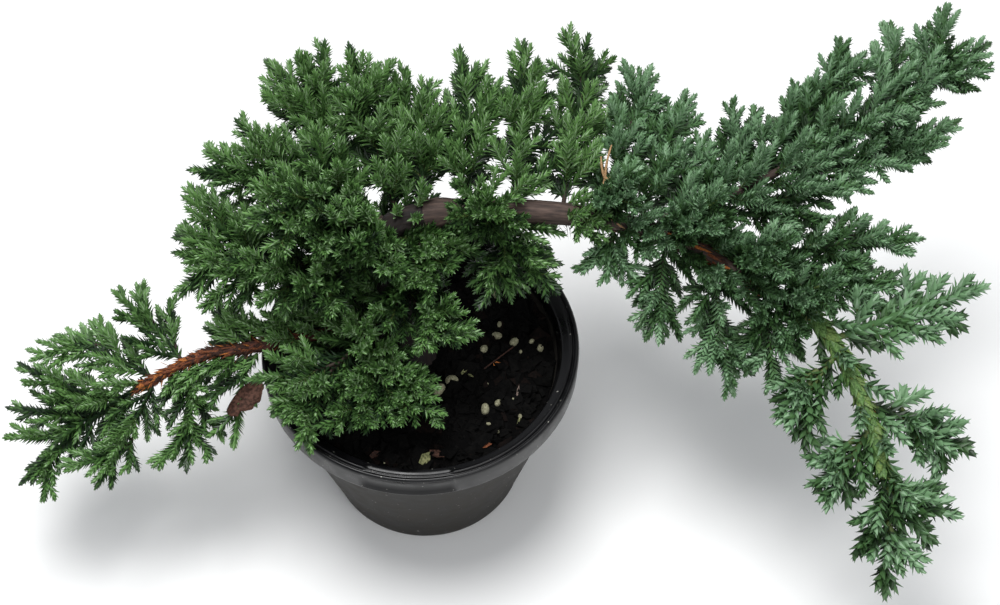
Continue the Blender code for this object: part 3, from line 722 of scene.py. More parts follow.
TIGHT = Habit(
    needle=(5.6, 3.3), width=1.9, opening=(52, 20), bud=4.0, whorl=1.0, shades=BLUE_GREEN,
    shoot=(9.0, 24.0), shoot_pitch=2.7, shoot_opening=(58, 36), roll=(-80, 90), shoot_share=(0.52, 0.34),
)
BROAD = Habit(
    needle=(8.0, 6.6), width=3.2, opening=(50, 28), bud=5.0, whorl=1.9, shades=BLUE_GREEN,
    shoot=(10.0, 22.0), shoot_pitch=5.8, shoot_opening=(54, 36), roll=(-60, 80), shoot_share=(0.45, 0.4),
    shootlet=(9.0, 13.0), shootlet_pitch=11.0, stem=1.6, mottle=0.16, woody=0.0,
)


@dataclass(frozen=True)
class Fringe:
    """Shoots that stand on a limb, between two shares of its length and two angles from its top."""

    limb: str
    first: float
    last: float
    pitch: float = 3.0
    shoot: Pair = (12.0, 24.0)
    sides: Pair = (0.0, 360.0)


@dataclass(frozen=True)
class Region:
    """Masses whose needles are joined in one piece, since they grow alike and lie side by side."""

    name: str
    habit: Habit
    masses: tuple[str, ...]
    fringes: tuple[Fringe, ...] = ()

    @property
    def slot(self) -> str:
        """A slot's name for its needles, by their shades."""
        return "green_needles" if self.habit.shades == GREEN else "blue_green_needles"


REGIONS = (
    Region(
        "left_arm", ARM,
        (
            "left_end", "left_outer_back", "left_outer_front", "left_arm_back", "left_arm_middle",
            "left_arm_front", "left_arm_inner",
        ),
        (
            Fringe("left_bough", 0.95, 1.0),
            Fringe("left_bough", 0.36, 0.62, 1.7, (12.0, 20.0), (-120.0, -30.0)),
            Fringe("left_bough", 0.5, 0.86, 2.4, (10.0, 17.0), (80.0, 150.0)),
        ),
    ),
    Region(
        "dome_side", DOME,
        ("dome_left", "dome_upper_left", "dome_middle_left", "dome_front"),
        (Fringe("left_side_bough", 0.2, 1.0), Fringe("trunk", 0.42, 0.75, 2.2)),
    ),
    Region(
        "dome_top", DOME,
        ("dome_top", "dome_top_right", "dome_crown", "dome_crown_front"),
        (Fringe("upper_left_bough", 0.2, 1.0),),
    ),
    Region(
        "front", FRONT,
        ("front_left", "front_middle", "trunk_front", "trunk_front_upper", "under_bough", "bough_crown_left"),
        (
            Fringe("front_bough", 0.1, 1.0, 1.6, (14.0, 24.0)),
            Fringe("left_bough", 0.04, 0.38, 1.2, (12.0, 22.0)),
            Fringe("trunk", 0.8, 0.92, 1.2, (9.0, 15.0)),
            Fringe("main_bough", 0.0, 0.07, 1.3, (8.0, 13.0), (-135.0, -75.0)),
            Fringe("trunk", 0.15, 0.85, 1.6, (14.0, 26.0), (100.0, 260.0)),
            Fringe("main_bough", 0.07, 0.2, 1.8, (12.0, 20.0)),
            Fringe("main_bough", 0.32, 0.42, 1.4, (9.0, 14.0), (-90.0, 60.0)),
        ),
    ),
    Region("back", BACK, ("back_left", "back_middle_left", "back_middle", "back_middle_right")),
    Region(
        "back_right", TIGHT,
        ("back_right", "right_plume", "right_inner_back", "right_back", "right_inner", "bough_crown_middle"),
        (Fringe("upper_right_bough", 0.05, 0.6, 1.7, (12.0, 21.0)),),
    ),
    Region(
        "right", TIGHT,
        ("right_back_outer", "right_top", "right_end", "right_end_front", "right_middle", "right_lower"),
        (Fringe("upper_right_bough", 0.6, 1.0),),
    ),
    Region(
        "middle", TIGHT,
        (
            "middle_left", "middle_front", "middle_low", "middle_right", "bough_crown_right",
            "bough_crown_outer", "bough_crown_end",
        ),
        (
            Fringe("main_bough", 0.46, 0.62, 1.8, (9.0, 16.0), (-110.0, 40.0)),
            Fringe("main_bough", 0.62, 0.8, 2.0, (8.0, 14.0), (-130.0, -50.0)),
            Fringe("main_bough", 0.6, 0.8, 1.1, (14.0, 22.0), (20.0, 110.0)),
            Fringe("main_bough", 0.8, 1.0, 1.3, (10.0, 20.0), (-120.0, 90.0)),
        ),
    ),
    Region(
        "leader", BROAD,
        ("leader_right", "leader_left", "leader_low_left", "leader_low_right", "leader_end"),
        (Fringe("leader_bough", 0.05, 1.0, 6.5, (9.0, 15.0)),),
    ),
)


@dataclass
class Stem:
    """A leafy stem: a quadratic curve, the way its flat side looks, its radii and where its needles start."""

    start: Point
    pull: Point
    tip: Point
    face: Point
    foot: float
    end: float
    bare: float
    order: int
    shade: int

    def at(self, share: float) -> Point:
        """The point at a share of the curve."""
        return bezier(self.start, self.pull, self.tip, share)

    def ahead(self, share: float) -> Point:
        """The direction at a share of the curve."""
        return bezier_ahead(self.start, self.pull, self.tip, share)

    def length(self) -> float:
        """About how long the curve is."""
        return float(np.linalg.norm(self.pull - self.start) + np.linalg.norm(self.tip - self.pull))


@dataclass
class Foliage:
    """The needles and twigs of one region of the crown."""

    region: Region
    form: Form
    # A mass's random numbers for shoots start from this and its own seed.
    shoot_seed: int = 1000
    # Needles stand in whorls of three, every other one turned half way, and closer towards a stem's tip.
    needles_per_whorl: int = 3
    crowding: float = 1.25
    # A needle's root is this share of its width.
    root_width: float = 0.65
    # How flat a spray is: its needles above and below stand out by this share.
    flatness: float = 0.85
    # Where a twig's first and last shoots stand, as shares of it.
    shoots: Pair = (0.08, 0.93)
    # A shoot's usual shade, how much it varies, and how much lighter a shoot is that points up, and darker
    # one that points down, as painted light and painted shade.
    usual_shade: float = 1.1
    shade_spread: float = 0.5
    painted_top_light: float = 1.1
    # Needles within the first distance of a tip are a shade lighter, and beyond the second a shade darker.
    fresh_tip: float = 7.0
    old_wood: float = 15.0
    # The shares of the needles there that are.
    fresh_share: float = 0.85
    old_share: float = 0.8
    # The share of needles with a lighter band down the middle.
    banded_share: float = 0.6
    # For painted shade, a stem lies under another that is this much higher and within this distance sideways,
    # in mm, where the share is the place on a stem that is compared.
    cover: Pair = (5.0, 9.0)
    cover_at: float = 0.6
    # Stems under more others than most, up to this share of them all, are a shade darker, as painted shade,
    # and stems with none over them a shade lighter, as painted light.
    painted_shade_share: float = 0.36
    # A stem's radius at its foot, as a share of its habit's, and at its tip in mm.
    axis_girth: Pair = (1.15, 0.4)
    twig_girth: Pair = (0.9, 0.4)
    shoot_girth: Pair = (0.42, 0.28)
    shootlet_girth: Pair = (0.34, 0.26)
    # How much of a stem, from its foot, has no needles.
    bare: float = 0.05
    bare_shootlet: float = 0.08
    # A twig's stem bends this many times as much as the solid's.
    more_bend: float = 1.1
    # It stops short of the twig's tip by this share of a tip needle's length, or of its own if that is less.
    short_of_tip: Pair = (0.7, 0.2)
    # A shoot is at most this long in mm, and longer by this share of what is left of its twig beyond it.
    shoot_limit: Pair = (4.5, 0.6)
    # How much shorter a shoot is that stands straight up or down.
    upright_loss: float = 0.25
    # Where in its pitch a shoot or a shootlet stands, how its size varies, and its angles in degrees.
    shoot_place: Pair = (0.25, 0.75)
    shoot_size: Pair = (0.8, 1.15)
    shoot_sway: float = 8
    shootlet_place: Pair = (0.2, 0.8)
    shootlet_size: Pair = (0.8, 1.1)
    shootlet_roll: Pair = (-50, 70)
    shootlet_opening: Pair = (34, 52)
    fringe_opening: Pair = (46, 72)
    # A shoot's tip is further than this in mm from any limb.
    limb_gap: float = 0.5
    # A fringe's shoots are rooted at this share of the limb's radius.
    fringe_root: float = 0.7
    # Past this share of its length a shoot bends ahead and up, by the next two shares.
    shoot_bend: float = 0.45
    bend_ahead: float = 0.5
    bend_up: float = 0.15
    # Shootlets stand on a shoot that is longer than this, from the first share of it and over the second.
    bare_shoot: float = 9.0
    shootlets: Pair = (0.2, 0.45)
    # How much a needle's turn round its stem varies in radians, its opening in degrees, its length and width.
    needle_turn: float = 0.14
    needle_sway: float = 5
    needle_length: Pair = (0.88, 1.08)
    needle_width: Pair = (0.85, 1.1)
    # The whorls past the first share of a stem open by the second only, and close its tip.
    last_whorls: float = 0.99
    last_opening: float = 0.4
    # How short the needles at a stem's foot are, and how far out in mm they reach their full length.
    foot_needle: float = 0.7
    full_length: float = 12
    stems: list[Stem] = field(default_factory=list)

    def grow(self) -> None:
        """Grows the region's stems, mass by mass, then the shoots along its limbs."""
        masses = {mass.name: mass for mass in MASSES}
        for name in self.region.masses:
            draw = random.Random(self.shoot_seed + masses[name].seed)
            for number, twig in enumerate(self.form.twigs[name]):
                self._grow_twig(twig, number == 0, draw)
        draw = random.Random(len(self.region.name))
        for fringe in self.region.fringes:
            self._grow_fringe(fringe, draw)
        self._paint_cover_shade_and_light()

    def _paint_cover_shade_and_light(self) -> None:
        """Paints shade on the stems that lie deep in the crown, a shade darker, and light on those on top."""
        places = np.array([stem.at(self.cover_at) for stem in self.stems])
        east, north, up = (places[None, :, axis] - places[:, None, axis] for axis in range(3))
        over = ((up > self.cover[0]) & (np.hypot(east, north) < self.cover[1])).sum(axis=1)
        # Painted shade for stems under many others, painted light for stems with none over them.
        deep = over > np.quantile(over, 1 - self.painted_shade_share)
        for stem, covered, count in zip(self.stems, deep, over):
            stem.shade = int(np.clip(stem.shade - covered + (count == 0), 0, LIGHTEST))

    def _grow_twig(self, twig: Point, is_axis: bool, draw: random.Random) -> None:
        """Adds a twig and the shoots along it.

        Args:
            twig: The twig's path from the growth rule.
            is_axis: Whether it is the mass's axis, which starts on a limb.
            draw: The mass's own random numbers.
        """
        habit = self.region.habit
        total = lengths_along(twig)[-1]
        ahead = unit(twig[-1] - point_along(twig, 1 - self.short_of_tip[1])[0])
        tip = twig[-1] - ahead * min(self.short_of_tip[0] * habit.needle[1], self.short_of_tip[1] * total)
        first = unit(twig[2] - twig[1]) if is_axis else unit(twig[1] - twig[0])
        start = twig[0] - unit(twig[1] - twig[0]) * (COLLAR if is_axis else 0)
        pull = start + first * TWIG_BEND * np.linalg.norm(tip - start) * self.more_bend
        girth, end = self.axis_girth if is_axis else self.twig_girth
        stem = Stem(start, pull, tip, UP, habit.stem * girth, end, self.bare, 1, draw.choice((1, 1, 2)))
        self.stems.append(stem)
        length = stem.length()
        tone = draw.gauss(0, self.shade_spread)
        side = draw.choice((-1, 1))
        first_share, last_share = self.shoots
        count = max(2, round(length * (last_share - first_share) / habit.shoot_pitch))
        for number in range(count):
            share = between(self.shoots, (number + draw.uniform(*self.shoot_place)) / count)
            ahead = stem.ahead(share)
            across = unit(np.cross(ahead, UP))
            roll = math.radians(draw.uniform(*habit.roll))
            outward = side * across * math.cos(roll) + np.cross(across, ahead) * math.sin(roll)
            size = float(np.clip(length * between(habit.shoot_share, share), *habit.shoot))
            size = min(size, self.shoot_limit[0] + self.shoot_limit[1] * length * (1 - share))
            size *= 1 - self.upright_loss * abs(math.sin(roll))
            opening = between(habit.shoot_opening, share) + draw.uniform(-self.shoot_sway, self.shoot_sway)
            size *= draw.uniform(*self.shoot_size)
            self._grow_shoot(stem.at(share), ahead, outward, size, opening, tone, draw)
            side = -side

    def _grow_fringe(self, fringe: Fringe, draw: random.Random) -> None:
        """Adds the shoots that stand round a limb.

        Args:
            fringe: Which limb, how much of it and how closely.
            draw: The region's own random numbers.
        """
        limb, path = self.form.limbs[fringe.limb], self.form.paths[fringe.limb]
        total = lengths_along(path)[-1]
        count = round(total * (fringe.last - fringe.first) / fringe.pitch)
        turn = draw.random()
        for number in range(count):
            share = between((fringe.first, fringe.last), (number + draw.random()) / count)
            point, ahead = point_along(path, share)
            across = unit(np.cross(ahead, UP))
            turn = (turn + GOLDEN_SHARE) % 1
            angle = math.radians(between(fringe.sides, turn))
            outward = np.cross(across, ahead) * math.cos(angle) - across * math.sin(angle)
            root = point + outward * self.fringe_root * self.form.radius(limb, share, share * total)
            size = draw.uniform(*fringe.shoot)
            self._grow_shoot(root, ahead, outward, size, draw.uniform(*self.fringe_opening), 0, draw)

    def _grow_shoot(
        self,
        root: Point,
        ahead: Point,
        outward: Point,
        size: float,
        opening: float,
        tone: float,
        draw: random.Random,
    ) -> None:
        """Adds a shoot, with its shootlets, unless it would grow into a limb or the pot.

        Args:
            root: Where it starts.
            ahead: The direction of the stem that carries it.
            outward: The way out from that stem.
            size: Its length.
            opening: The angle in degrees that it makes with that stem.
            tone: How much lighter than usual it is, in shades.
            draw: The random numbers.
        """
        habit = self.region.habit
        angle = math.radians(opening)
        heading = ahead * math.cos(angle) + outward * math.sin(angle)
        late = unit(heading + self.bend_ahead * ahead + self.bend_up * UP)
        pull = root + heading * self.shoot_bend * size
        tip = pull + late * (1 - self.shoot_bend) * size
        if not self._free(np.array([root + heading * 0.5 * size, tip])):
            return
        # The shoot's flat side looks up, leaning a little outward and back.
        face = unit(np.cross(np.cross(ahead, heading), heading) + draw.uniform(-0.8, 0.8) * outward)
        face = unit(UP + 0.4 * face)
        # Shoots that point up are made lighter and those that point down darker: painted light and shade.
        usual = self.usual_shade + tone + self.painted_top_light * outward[2]
        shade = int(np.clip(round(draw.gauss(usual, self.shade_spread)), 0, LIGHTEST))
        girth, end = self.shoot_girth
        shoot = Stem(root, pull, tip, face, girth * habit.stem, end, self.bare, 2, shade)
        self.stems.append(shoot)
        count = round((size - self.bare_shoot) / habit.shootlet_pitch)
        first, over = self.shootlets
        turn = draw.choice((-1, 1))
        for number in range(count):
            at = first + over * (number + draw.uniform(*self.shootlet_place)) / count
            self._grow_shootlet(shoot, at, turn, size, draw)
            turn = -turn

    def _grow_shootlet(
        self, shoot: Stem, share: float, side: int, length: float, draw: random.Random
    ) -> None:
        """Adds a shootlet, the finest stem, to a shoot.

        Args:
            shoot: The shoot that carries it.
            share: Where on the shoot it stands.
            side: Which side it leaves from, as -1 or 1.
            length: The shoot's length.
            draw: The random numbers.
        """
        root = shoot.at(share)
        ahead = shoot.ahead(share)
        across = unit(np.cross(ahead, shoot.face))
        roll = math.radians(draw.uniform(*self.shootlet_roll))
        opening = math.radians(draw.uniform(*self.shootlet_opening))
        outward = side * across * math.cos(roll) + shoot.face * math.sin(roll)
        heading = ahead * math.cos(opening) + outward * math.sin(opening)
        size = float(np.clip(0.5 * length * (1 - 0.5 * share), *self.region.habit.shootlet))
        size *= draw.uniform(*self.shootlet_size)
        tip = root + heading * size + ahead * 0.15 * size
        if not self._free(tip[None]):
            return
        shade = min(LIGHTEST, shoot.shade + draw.choice((0, 0, 1)))
        pull = root + heading * 0.5 * size
        girth, end = self.shootlet_girth
        girth *= self.region.habit.stem
        self.stems.append(Stem(root, pull, tip, shoot.face, girth, end, self.bare_shootlet, 3, shade))

    def _free(self, points: Point) -> bool:
        """Whether the points are clear of the pot, of the limbs and of the room over the dead leaf."""
        run = np.clip((points - LEAF_PLACE) @ LEAF_OUT, 0, LEAF_CLEAR)[:, None] * LEAF_OUT
        off_leaf = np.linalg.norm(points - LEAF_PLACE - run, axis=1) > LEAF_ROOM
        off_limbs = self.form.clear_of_limbs(points, self.limb_gap)
        return bool((clear_of_pot(points) & off_leaf & off_limbs).all())

    def _stacked(self, name: str) -> np.ndarray:
        """The stems' values of one field, as an array."""
        return np.array([getattr(stem, name) for stem in self.stems], float)

    def needles(self) -> tuple[Point, np.ndarray, np.ndarray]:
        """Works out every needle as a blade of three faces: a middle band between two raised sides.

        Returns:
            The points, the faces and each face's shade.
        """
        habit = self.region.habit
        rng = np.random.default_rng(len(self.stems))
        start, pull, tip, face = (self._stacked(name) for name in ("start", "pull", "tip", "face"))
        lengths = np.linalg.norm(pull - start, axis=1) + np.linalg.norm(tip - pull, axis=1)
        bare = self._stacked("bare")
        whorls = np.maximum(3, np.round(lengths * (1 - bare) / habit.whorl)).astype(int)
        rows = np.repeat(np.arange(len(whorls)), whorls)
        order = np.arange(len(rows)) - np.repeat(np.cumsum(whorls) - whorls, whorls)
        share = 1 - (1 - (order + 1.0) / whorls[rows]) ** self.crowding
        spin = rng.uniform(0, math.tau, len(whorls))[rows] + order * math.pi / 3
        t = bare[rows] + (1 - bare[rows]) * share
        each = self.needles_per_whorl
        azimuth = np.repeat(spin, each) + np.tile(np.arange(each) * math.tau / each, len(order))
        azimuth += rng.uniform(-self.needle_turn, self.needle_turn, len(azimuth))
        rows, share, t = (np.repeat(values, each) for values in (rows, share, t))
        curve = (start[rows], pull[rows], tip[rows], t[:, None])
        places, ahead = bezier(*curve), bezier_ahead(*curve)
        above = square_to(face[rows], ahead)
        across = np.cross(ahead, above)
        radial = unit(np.cos(azimuth)[:, None] * across + self.flatness * np.sin(azimuth)[:, None] * above)
        left = (1 - t) * lengths[rows]
        closed = np.exp(-left / habit.bud)
        opening = between(habit.opening, closed) + rng.uniform(-self.needle_sway, self.needle_sway, len(t))
        opening = np.where(share > self.last_whorls, self.last_opening * opening, opening)
        opening = np.radians(opening)[:, None]
        heading = ahead * np.cos(opening) + radial * np.sin(opening)
        outward = radial * np.cos(opening) - ahead * np.sin(opening)
        length = between(habit.needle, closed)
        length = length * np.minimum(1, self.foot_needle + t * lengths[rows] / self.full_length)
        length *= rng.uniform(*self.needle_length, len(t))
        wide = habit.width / 2 * rng.uniform(*self.needle_width, len(t))
        corners = blades(places, heading, outward, length[:, None], wide[:, None], self.root_width)
        keep = clear_of_pot(corners[:, 3]) & clear_of_pot(corners[:, 2])
        corners = corners[keep]
        faces = repeated_faces(BLADE_FACES, len(corners), BLADE_CORNERS)
        shade = self._stacked("shade")[rows[keep]]
        shade += (left[keep] < self.fresh_tip) & (rng.random(len(shade)) < self.fresh_share)
        shade -= (left[keep] > self.old_wood) & (rng.random(len(shade)) < self.old_share)
        odd = habit.mottle / 2
        shade = np.clip(shade + rng.choice((-1, 0, 1), len(shade), p=(odd, 1 - 2 * odd, odd)), 0, LIGHTEST)
        banded = rng.random(len(shade)) < self.banded_share
        return corners.reshape(-1, 3), faces, np.stack([shade + banded, shade, shade], axis=1).ravel()

    def twigs(self) -> tuple[Point, np.ndarray, np.ndarray]:
        """Works out every stem as a tapering tube.

        Returns:
            The points, the faces as triangles and each face's slot: 0 for green, 1 for brown.
        """
        points, faces, slots = [], [], []
        offset = 0
        for order, (rings, sides) in TUBES.items():
            stems = [stem for stem in self.stems if stem.order == order]
            curve = (np.array([getattr(stem, name) for stem in stems]) for name in ("start", "pull", "tip"))
            start, pull, tip = curve
            face = np.array([stem.face for stem in stems])
            radii = np.array([(stem.foot, stem.end) for stem in stems])
            shells = []
            for ring in range(rings + 1):
                share = ring / rings
                places = bezier(start, pull, tip, share)
                ahead = bezier_ahead(start, pull, tip, share)
                above = square_to(face, ahead)
                across = np.cross(ahead, above)
                radius = (radii[:, 0] + (radii[:, 1] - radii[:, 0]) * share)[:, None]
                for side in range(sides):
                    angle = math.tau * side / sides
                    shells.append(places + (across * math.cos(angle) + above * math.sin(angle)) * radius)
            shells = np.stack(shells, axis=1)
            pattern = tube_faces(rings + 1, sides)[:, [0, 2, 3, 0, 1, 2]].reshape(-1, 3)
            each = shells.shape[1]
            faces.append(repeated_faces(pattern, len(stems), each) + offset)
            points.append(shells.reshape(-1, 3))
            old = np.arange(rings)[None, :] < (self.region.habit.woody * rings if order == 1 else 0)
            old = np.repeat(old, 2 * sides, axis=1)
            slots.append(np.tile(old, (len(stems), 1)).ravel())
            offset += len(stems) * each
        return np.vstack(points), np.vstack(faces), np.concatenate(slots)

    def build(self, shades: dict[Shade, Material]) -> None:
        """Makes the region's two pieces.

        Args:
            shades: The material of each shade.
        """
        points, faces, shade = self.needles()
        materials = [shades[choice] for choice in self.region.habit.shades]
        piece = mesh_piece(self.region.name + "_needles", points, faces, materials, False)
        deal_materials(piece, shade)
        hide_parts(*(name + "_foliage" for name in self.region.masses))
        points, faces, slot = self.twigs()
        materials = [shades[Shade.STEM], shades[Shade.OLD_STEM]]
        piece = mesh_piece(self.region.name + "_twigs", points, faces, materials, True)
        deal_materials(piece, slot)


@dataclass(frozen=True)
class Bark:
    """Juniper bark, which grows in long fibres that weather, crack and peel.

    The eye sees fine streaks along the limb, a paler dusty crest on each ridge and warm brown in the cracks.
    """

    name: str
    crack: str
    body: str
    crest: str
    # A fibre is about this wide and this long, in mm, and weathered patches are about 7 mm wide.
    fibre: Pair = (1.1, 12.0)
    patches_per_metre: float = 140.0
    # A patch is between this dark and this light against the bark's own colour.
    weathering: Pair = (0.72, 1.12)
    # The fibres' depth in mm.
    depth: float = 0.25
    roughness: float = 0.82
    # The relief's height as a share of the limb's radius, and its ridges' length along the limb in mm.
    relief: float = 0.06
    ridge: float = 11.0
    # The bark lies at this share of the solid's radius, and what stands on it fills the rest.
    sunk: float = 1.0

    def dress(self) -> Material:
        """Makes the material. Its coordinates come from the limb's UV map, in metres along and around."""
        material, tree, shader = new_material(self.name)
        place = add_node(tree, "UVMap", {"uv_map": "limb"}, {}).outputs["UV"]
        scale = (1 / (self.fibre[0] * MM), 1 / (self.fibre[1] * MM), 1.0)
        stretched = add_node(tree, "Mapping", {"Scale": scale}, {"Vector": place}).outputs["Vector"]
        settings = {"Scale": 1.0, "Detail": 5.0, "Roughness": 0.6}
        fibres = add_node(tree, "TexNoise", settings, {"Vector": stretched}).outputs["Fac"]
        stops = ((0.3, self.crack), (0.74, self.crest), (0.5, self.body))
        ramp = add_node(tree, "ValToRGB", {"stops": stops}, {"Fac": fibres})
        settings = {"Scale": self.patches_per_metre, "Detail": 3.0}
        patches = add_node(tree, "TexNoise", settings, {"Vector": place}).outputs["Fac"]
        dark, light = self.weathering
        settings = {"From Min": 0.3, "From Max": 0.7, "To Min": dark, "To Max": light}
        weathered = add_node(tree, "MapRange", settings, {"Value": patches}).outputs["Result"]
        shaded = add_node(tree, "HueSaturation", {}, {"Value": weathered, "Color": ramp.outputs["Color"]})
        tree.links.new(shaded.outputs["Color"], shader.inputs["Base Color"])
        bump = add_node(tree, "Bump", {"Strength": 0.5, "Distance": self.depth * MM}, {"Height": fibres})
        tree.links.new(bump.outputs["Normal"], shader.inputs["Normal"])
        shader.inputs["Roughness"].default_value = self.roughness
        return material


class BarkAge(Enum):
    """The bark of each limb, by its age, and a near-black bark that is painted shade."""

    OLD = Bark("juniper_bark_old", "#1c1411", "#3f312b", "#614f46")
    # Near-black bark for the trunk and the front bough, which lie deep in the crown: painted shade.
    WEATHERED = Bark("juniper_bark_weathered", "#0b0706", "#1a120f", "#2d211b", relief=0.13, ridge=6.0)
    RED = Bark(
        "juniper_bark_red", "#1d0d08", "#4a2116", "#7c4429", (0.8, 7.0), relief=0.16, ridge=4.0, sunk=1.02
    )
    YOUNG = Bark(
        "juniper_bark_green", "#4a3a1e", "#626b2e", "#7e8c42", (0.8, 7.0),
        roughness=0.6, relief=0.05, ridge=8.0, sunk=0.95,
    )


@dataclass
class LimbSkin:
    """The trunk or a bough, with the relief of its bark."""

    limb: Limb
    form: Form
    age: BarkAge
    pitch: float = 0.9
    sides: int = 36
    # How finely the path's curve is drawn between two of its points, before it is cut at the pitch.
    fineness: int = 6
    # A bough swells by this share where it leaves its parent, and the swelling fades over so many mm.
    collar_swell: float = 0.25
    collar_length: float = 5.0
    # How far the trunk's foot goes down into the soil.
    buried: float = 6.0

    def centre_line(self) -> tuple[Point, np.ndarray, float]:
        """Lengthens the limb's path backwards into what carries it.

        Returns:
            The path, the run at each of its points and how much of it is hidden.
        """
        path = resampled(smooth_path(list(self.form.paths[self.limb.name][1:]), self.fineness), self.pitch)
        first = self.form.paths[self.limb.name][0]
        sunk = first - unit(path[0] - first) * (self.limb.foot if self.limb.parent else self.buried)
        path = np.vstack([resampled(np.array([sunk, path[0]]), self.pitch)[:-1], path])
        return path, lengths_along(path), float(np.linalg.norm(first - sunk))

    def girths(self, run: np.ndarray, hidden: float) -> np.ndarray:
        """The bark's radius all along, with a swollen foot and a rounded tip.

        Args:
            run: The run at each of the path's points.
            hidden: How much of the path is hidden.

        Returns:
            The radius at each point.
        """
        shown = np.clip(run - hidden, 0, None)
        radii = np.array([self.form.radius(self.limb, reached / shown[-1], reached) for reached in shown])
        if self.limb.parent:
            radii *= 1 + self.collar_swell * np.exp(-shown / self.collar_length)
        rounding = np.clip((run[-1] - run) / (0.8 * self.limb.tip), 0, 1)
        return radii * self.age.value.sunk * (0.98 * np.sqrt(1 - (1 - rounding) ** 2) + 0.02)

    def relief(self, run: np.ndarray, angle: np.ndarray, around: float) -> np.ndarray:
        """The bark's ridges and plates.

        Args:
            run: The run at each of the path's points.
            angle: Each side's angle.
            around: The radius that sets the ridges' width.

        Returns:
            The height at each point and side, between about -1 and 1.
        """
        seed = len(self.limb.name)
        layers = (
            np.repeat(run[:, None] / self.age.value.ridge, self.sides, axis=1),
            np.repeat(np.cos(angle)[None] * around, len(run), axis=0),
            np.repeat(np.sin(angle)[None] * around, len(run), axis=0),
        )
        grid = np.stack(layers, axis=2).reshape(-1, 3)
        height = value_noise(grid, seed) + 0.6 * np.abs(value_noise(grid * (2.3, 2.1, 2.1), seed + 9))
        height += 0.35 * value_noise(grid * (6, 3.3, 3.3), seed + 5)
        return height.reshape(len(run), self.sides)

    def build(self, material: Material, slot: str) -> bpy.types.Object:
        """Makes the limb's piece.

        Args:
            material: Its bark.
            slot: A slot's name for it, which is not used.

        Returns:
            The piece, which replaces the limb's solid.
        """
        path, run, hidden = self.centre_line()
        radii = self.girths(run, hidden)
        angle = np.arange(self.sides) * math.tau / self.sides
        spokes = []
        above = unit(np.array([0.2, 0.4, 1.0]))
        for number in range(len(path)):
            forward = unit(path[min(number + 1, len(path) - 1)] - path[max(number - 1, 0)])
            above = square_to(above, forward)
            across = np.cross(forward, above)
            spokes.append(np.cos(angle)[:, None] * across + np.sin(angle)[:, None] * above)
        swell = 1 + self.age.value.relief * self.relief(run, angle, radii.mean() * 0.9)
        points = path[:, None] + np.array(spokes) * (radii[:, None] * swell)[..., None]
        faces = tube_faces(len(path), self.sides)
        piece = mesh_piece(self.limb.name + "_bark", points.reshape(-1, 3), faces, [material], True)
        layer = piece.data.uv_layers.new(name="limb")
        girth = math.tau * radii.mean() * MM
        uv = np.empty((len(path) - 1, self.sides, 4, 2))
        column = np.arange(self.sides)
        uv[..., 0] = np.stack([column, column, column + 1, column + 1], axis=1) / self.sides * girth
        uv[..., 1] = np.stack([run[:-1], run[1:], run[1:], run[:-1]], axis=1)[:, None] * MM
        layer.data.foreach_set("uv", uv.astype(np.float32).ravel())
        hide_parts(self.limb.name)
        return piece


@dataclass(frozen=True)
class Husk:
    """A small blade's tissue: peeling bark, a dead needle or a pressed leaf, whose fibres are dull specks."""

    name: str
    dark: str
    light: str
    # A fibre's width in mm.
    fibre: float = 0.5
    roughness: float = 0.8
    # How strongly it mirrors, where 0.5 is usual.
    mirror: float = 0.35

    def dress(self) -> Material:
        """Makes the material."""
        material, tree, shader = new_material(self.name)
        place = add_node(tree, "TexCoord", {}, {}).outputs["Object"]
        settings = {"Scale": 1 / (self.fibre * MM), "Detail": 3.0}
        fibres = add_node(tree, "TexNoise", settings, {"Vector": place}).outputs["Fac"]
        stops = ((0.38, self.dark), (0.64, self.light))
        ramp = add_node(tree, "ValToRGB", {"stops": stops}, {"Fac": fibres})
        tree.links.new(ramp.outputs["Color"], shader.inputs["Base Color"])
        bump = add_node(tree, "Bump", {"Strength": 0.4, "Distance": 0.1 * MM}, {"Height": fibres})
        tree.links.new(bump.outputs["Normal"], shader.inputs["Normal"])
        shader.inputs["Roughness"].default_value = self.roughness
        shader.inputs["Specular IOR Level"].default_value = self.mirror
        return material


class Tissue(Enum):
    """The tissues of the small blades on the limbs and on the soil."""

    DARK = Husk("peeled_bark_dark", "#1c100c", "#46291d")
    RUSSET = Husk("peeled_bark_russet", "#4c2613", "#80492a")
    ORANGE = Husk("dead_needle_orange", "#7d4318", "#b56f34")
    TAN = Husk("peeled_bark_tan", "#8b6844", "#bd9c74")
    GREY = Husk("weathered_bark_grey", "#4d403a", "#82726a")
    LEAF = Husk("dead_leaf_brown", "#2f1f19", "#553b31", 1.4, 0.75, 0.15)
    STRAW = Husk("dead_leaf_straw", "#474a2c", "#82835a", 1.2)
    OLIVE = Husk("pressed_leaf_olive", "#4a612f", "#6d8544", 0.9, 0.55)
    MOSS = Husk("pressed_leaf_green", "#3f5c2c", "#5f8045", 0.9, 0.55)


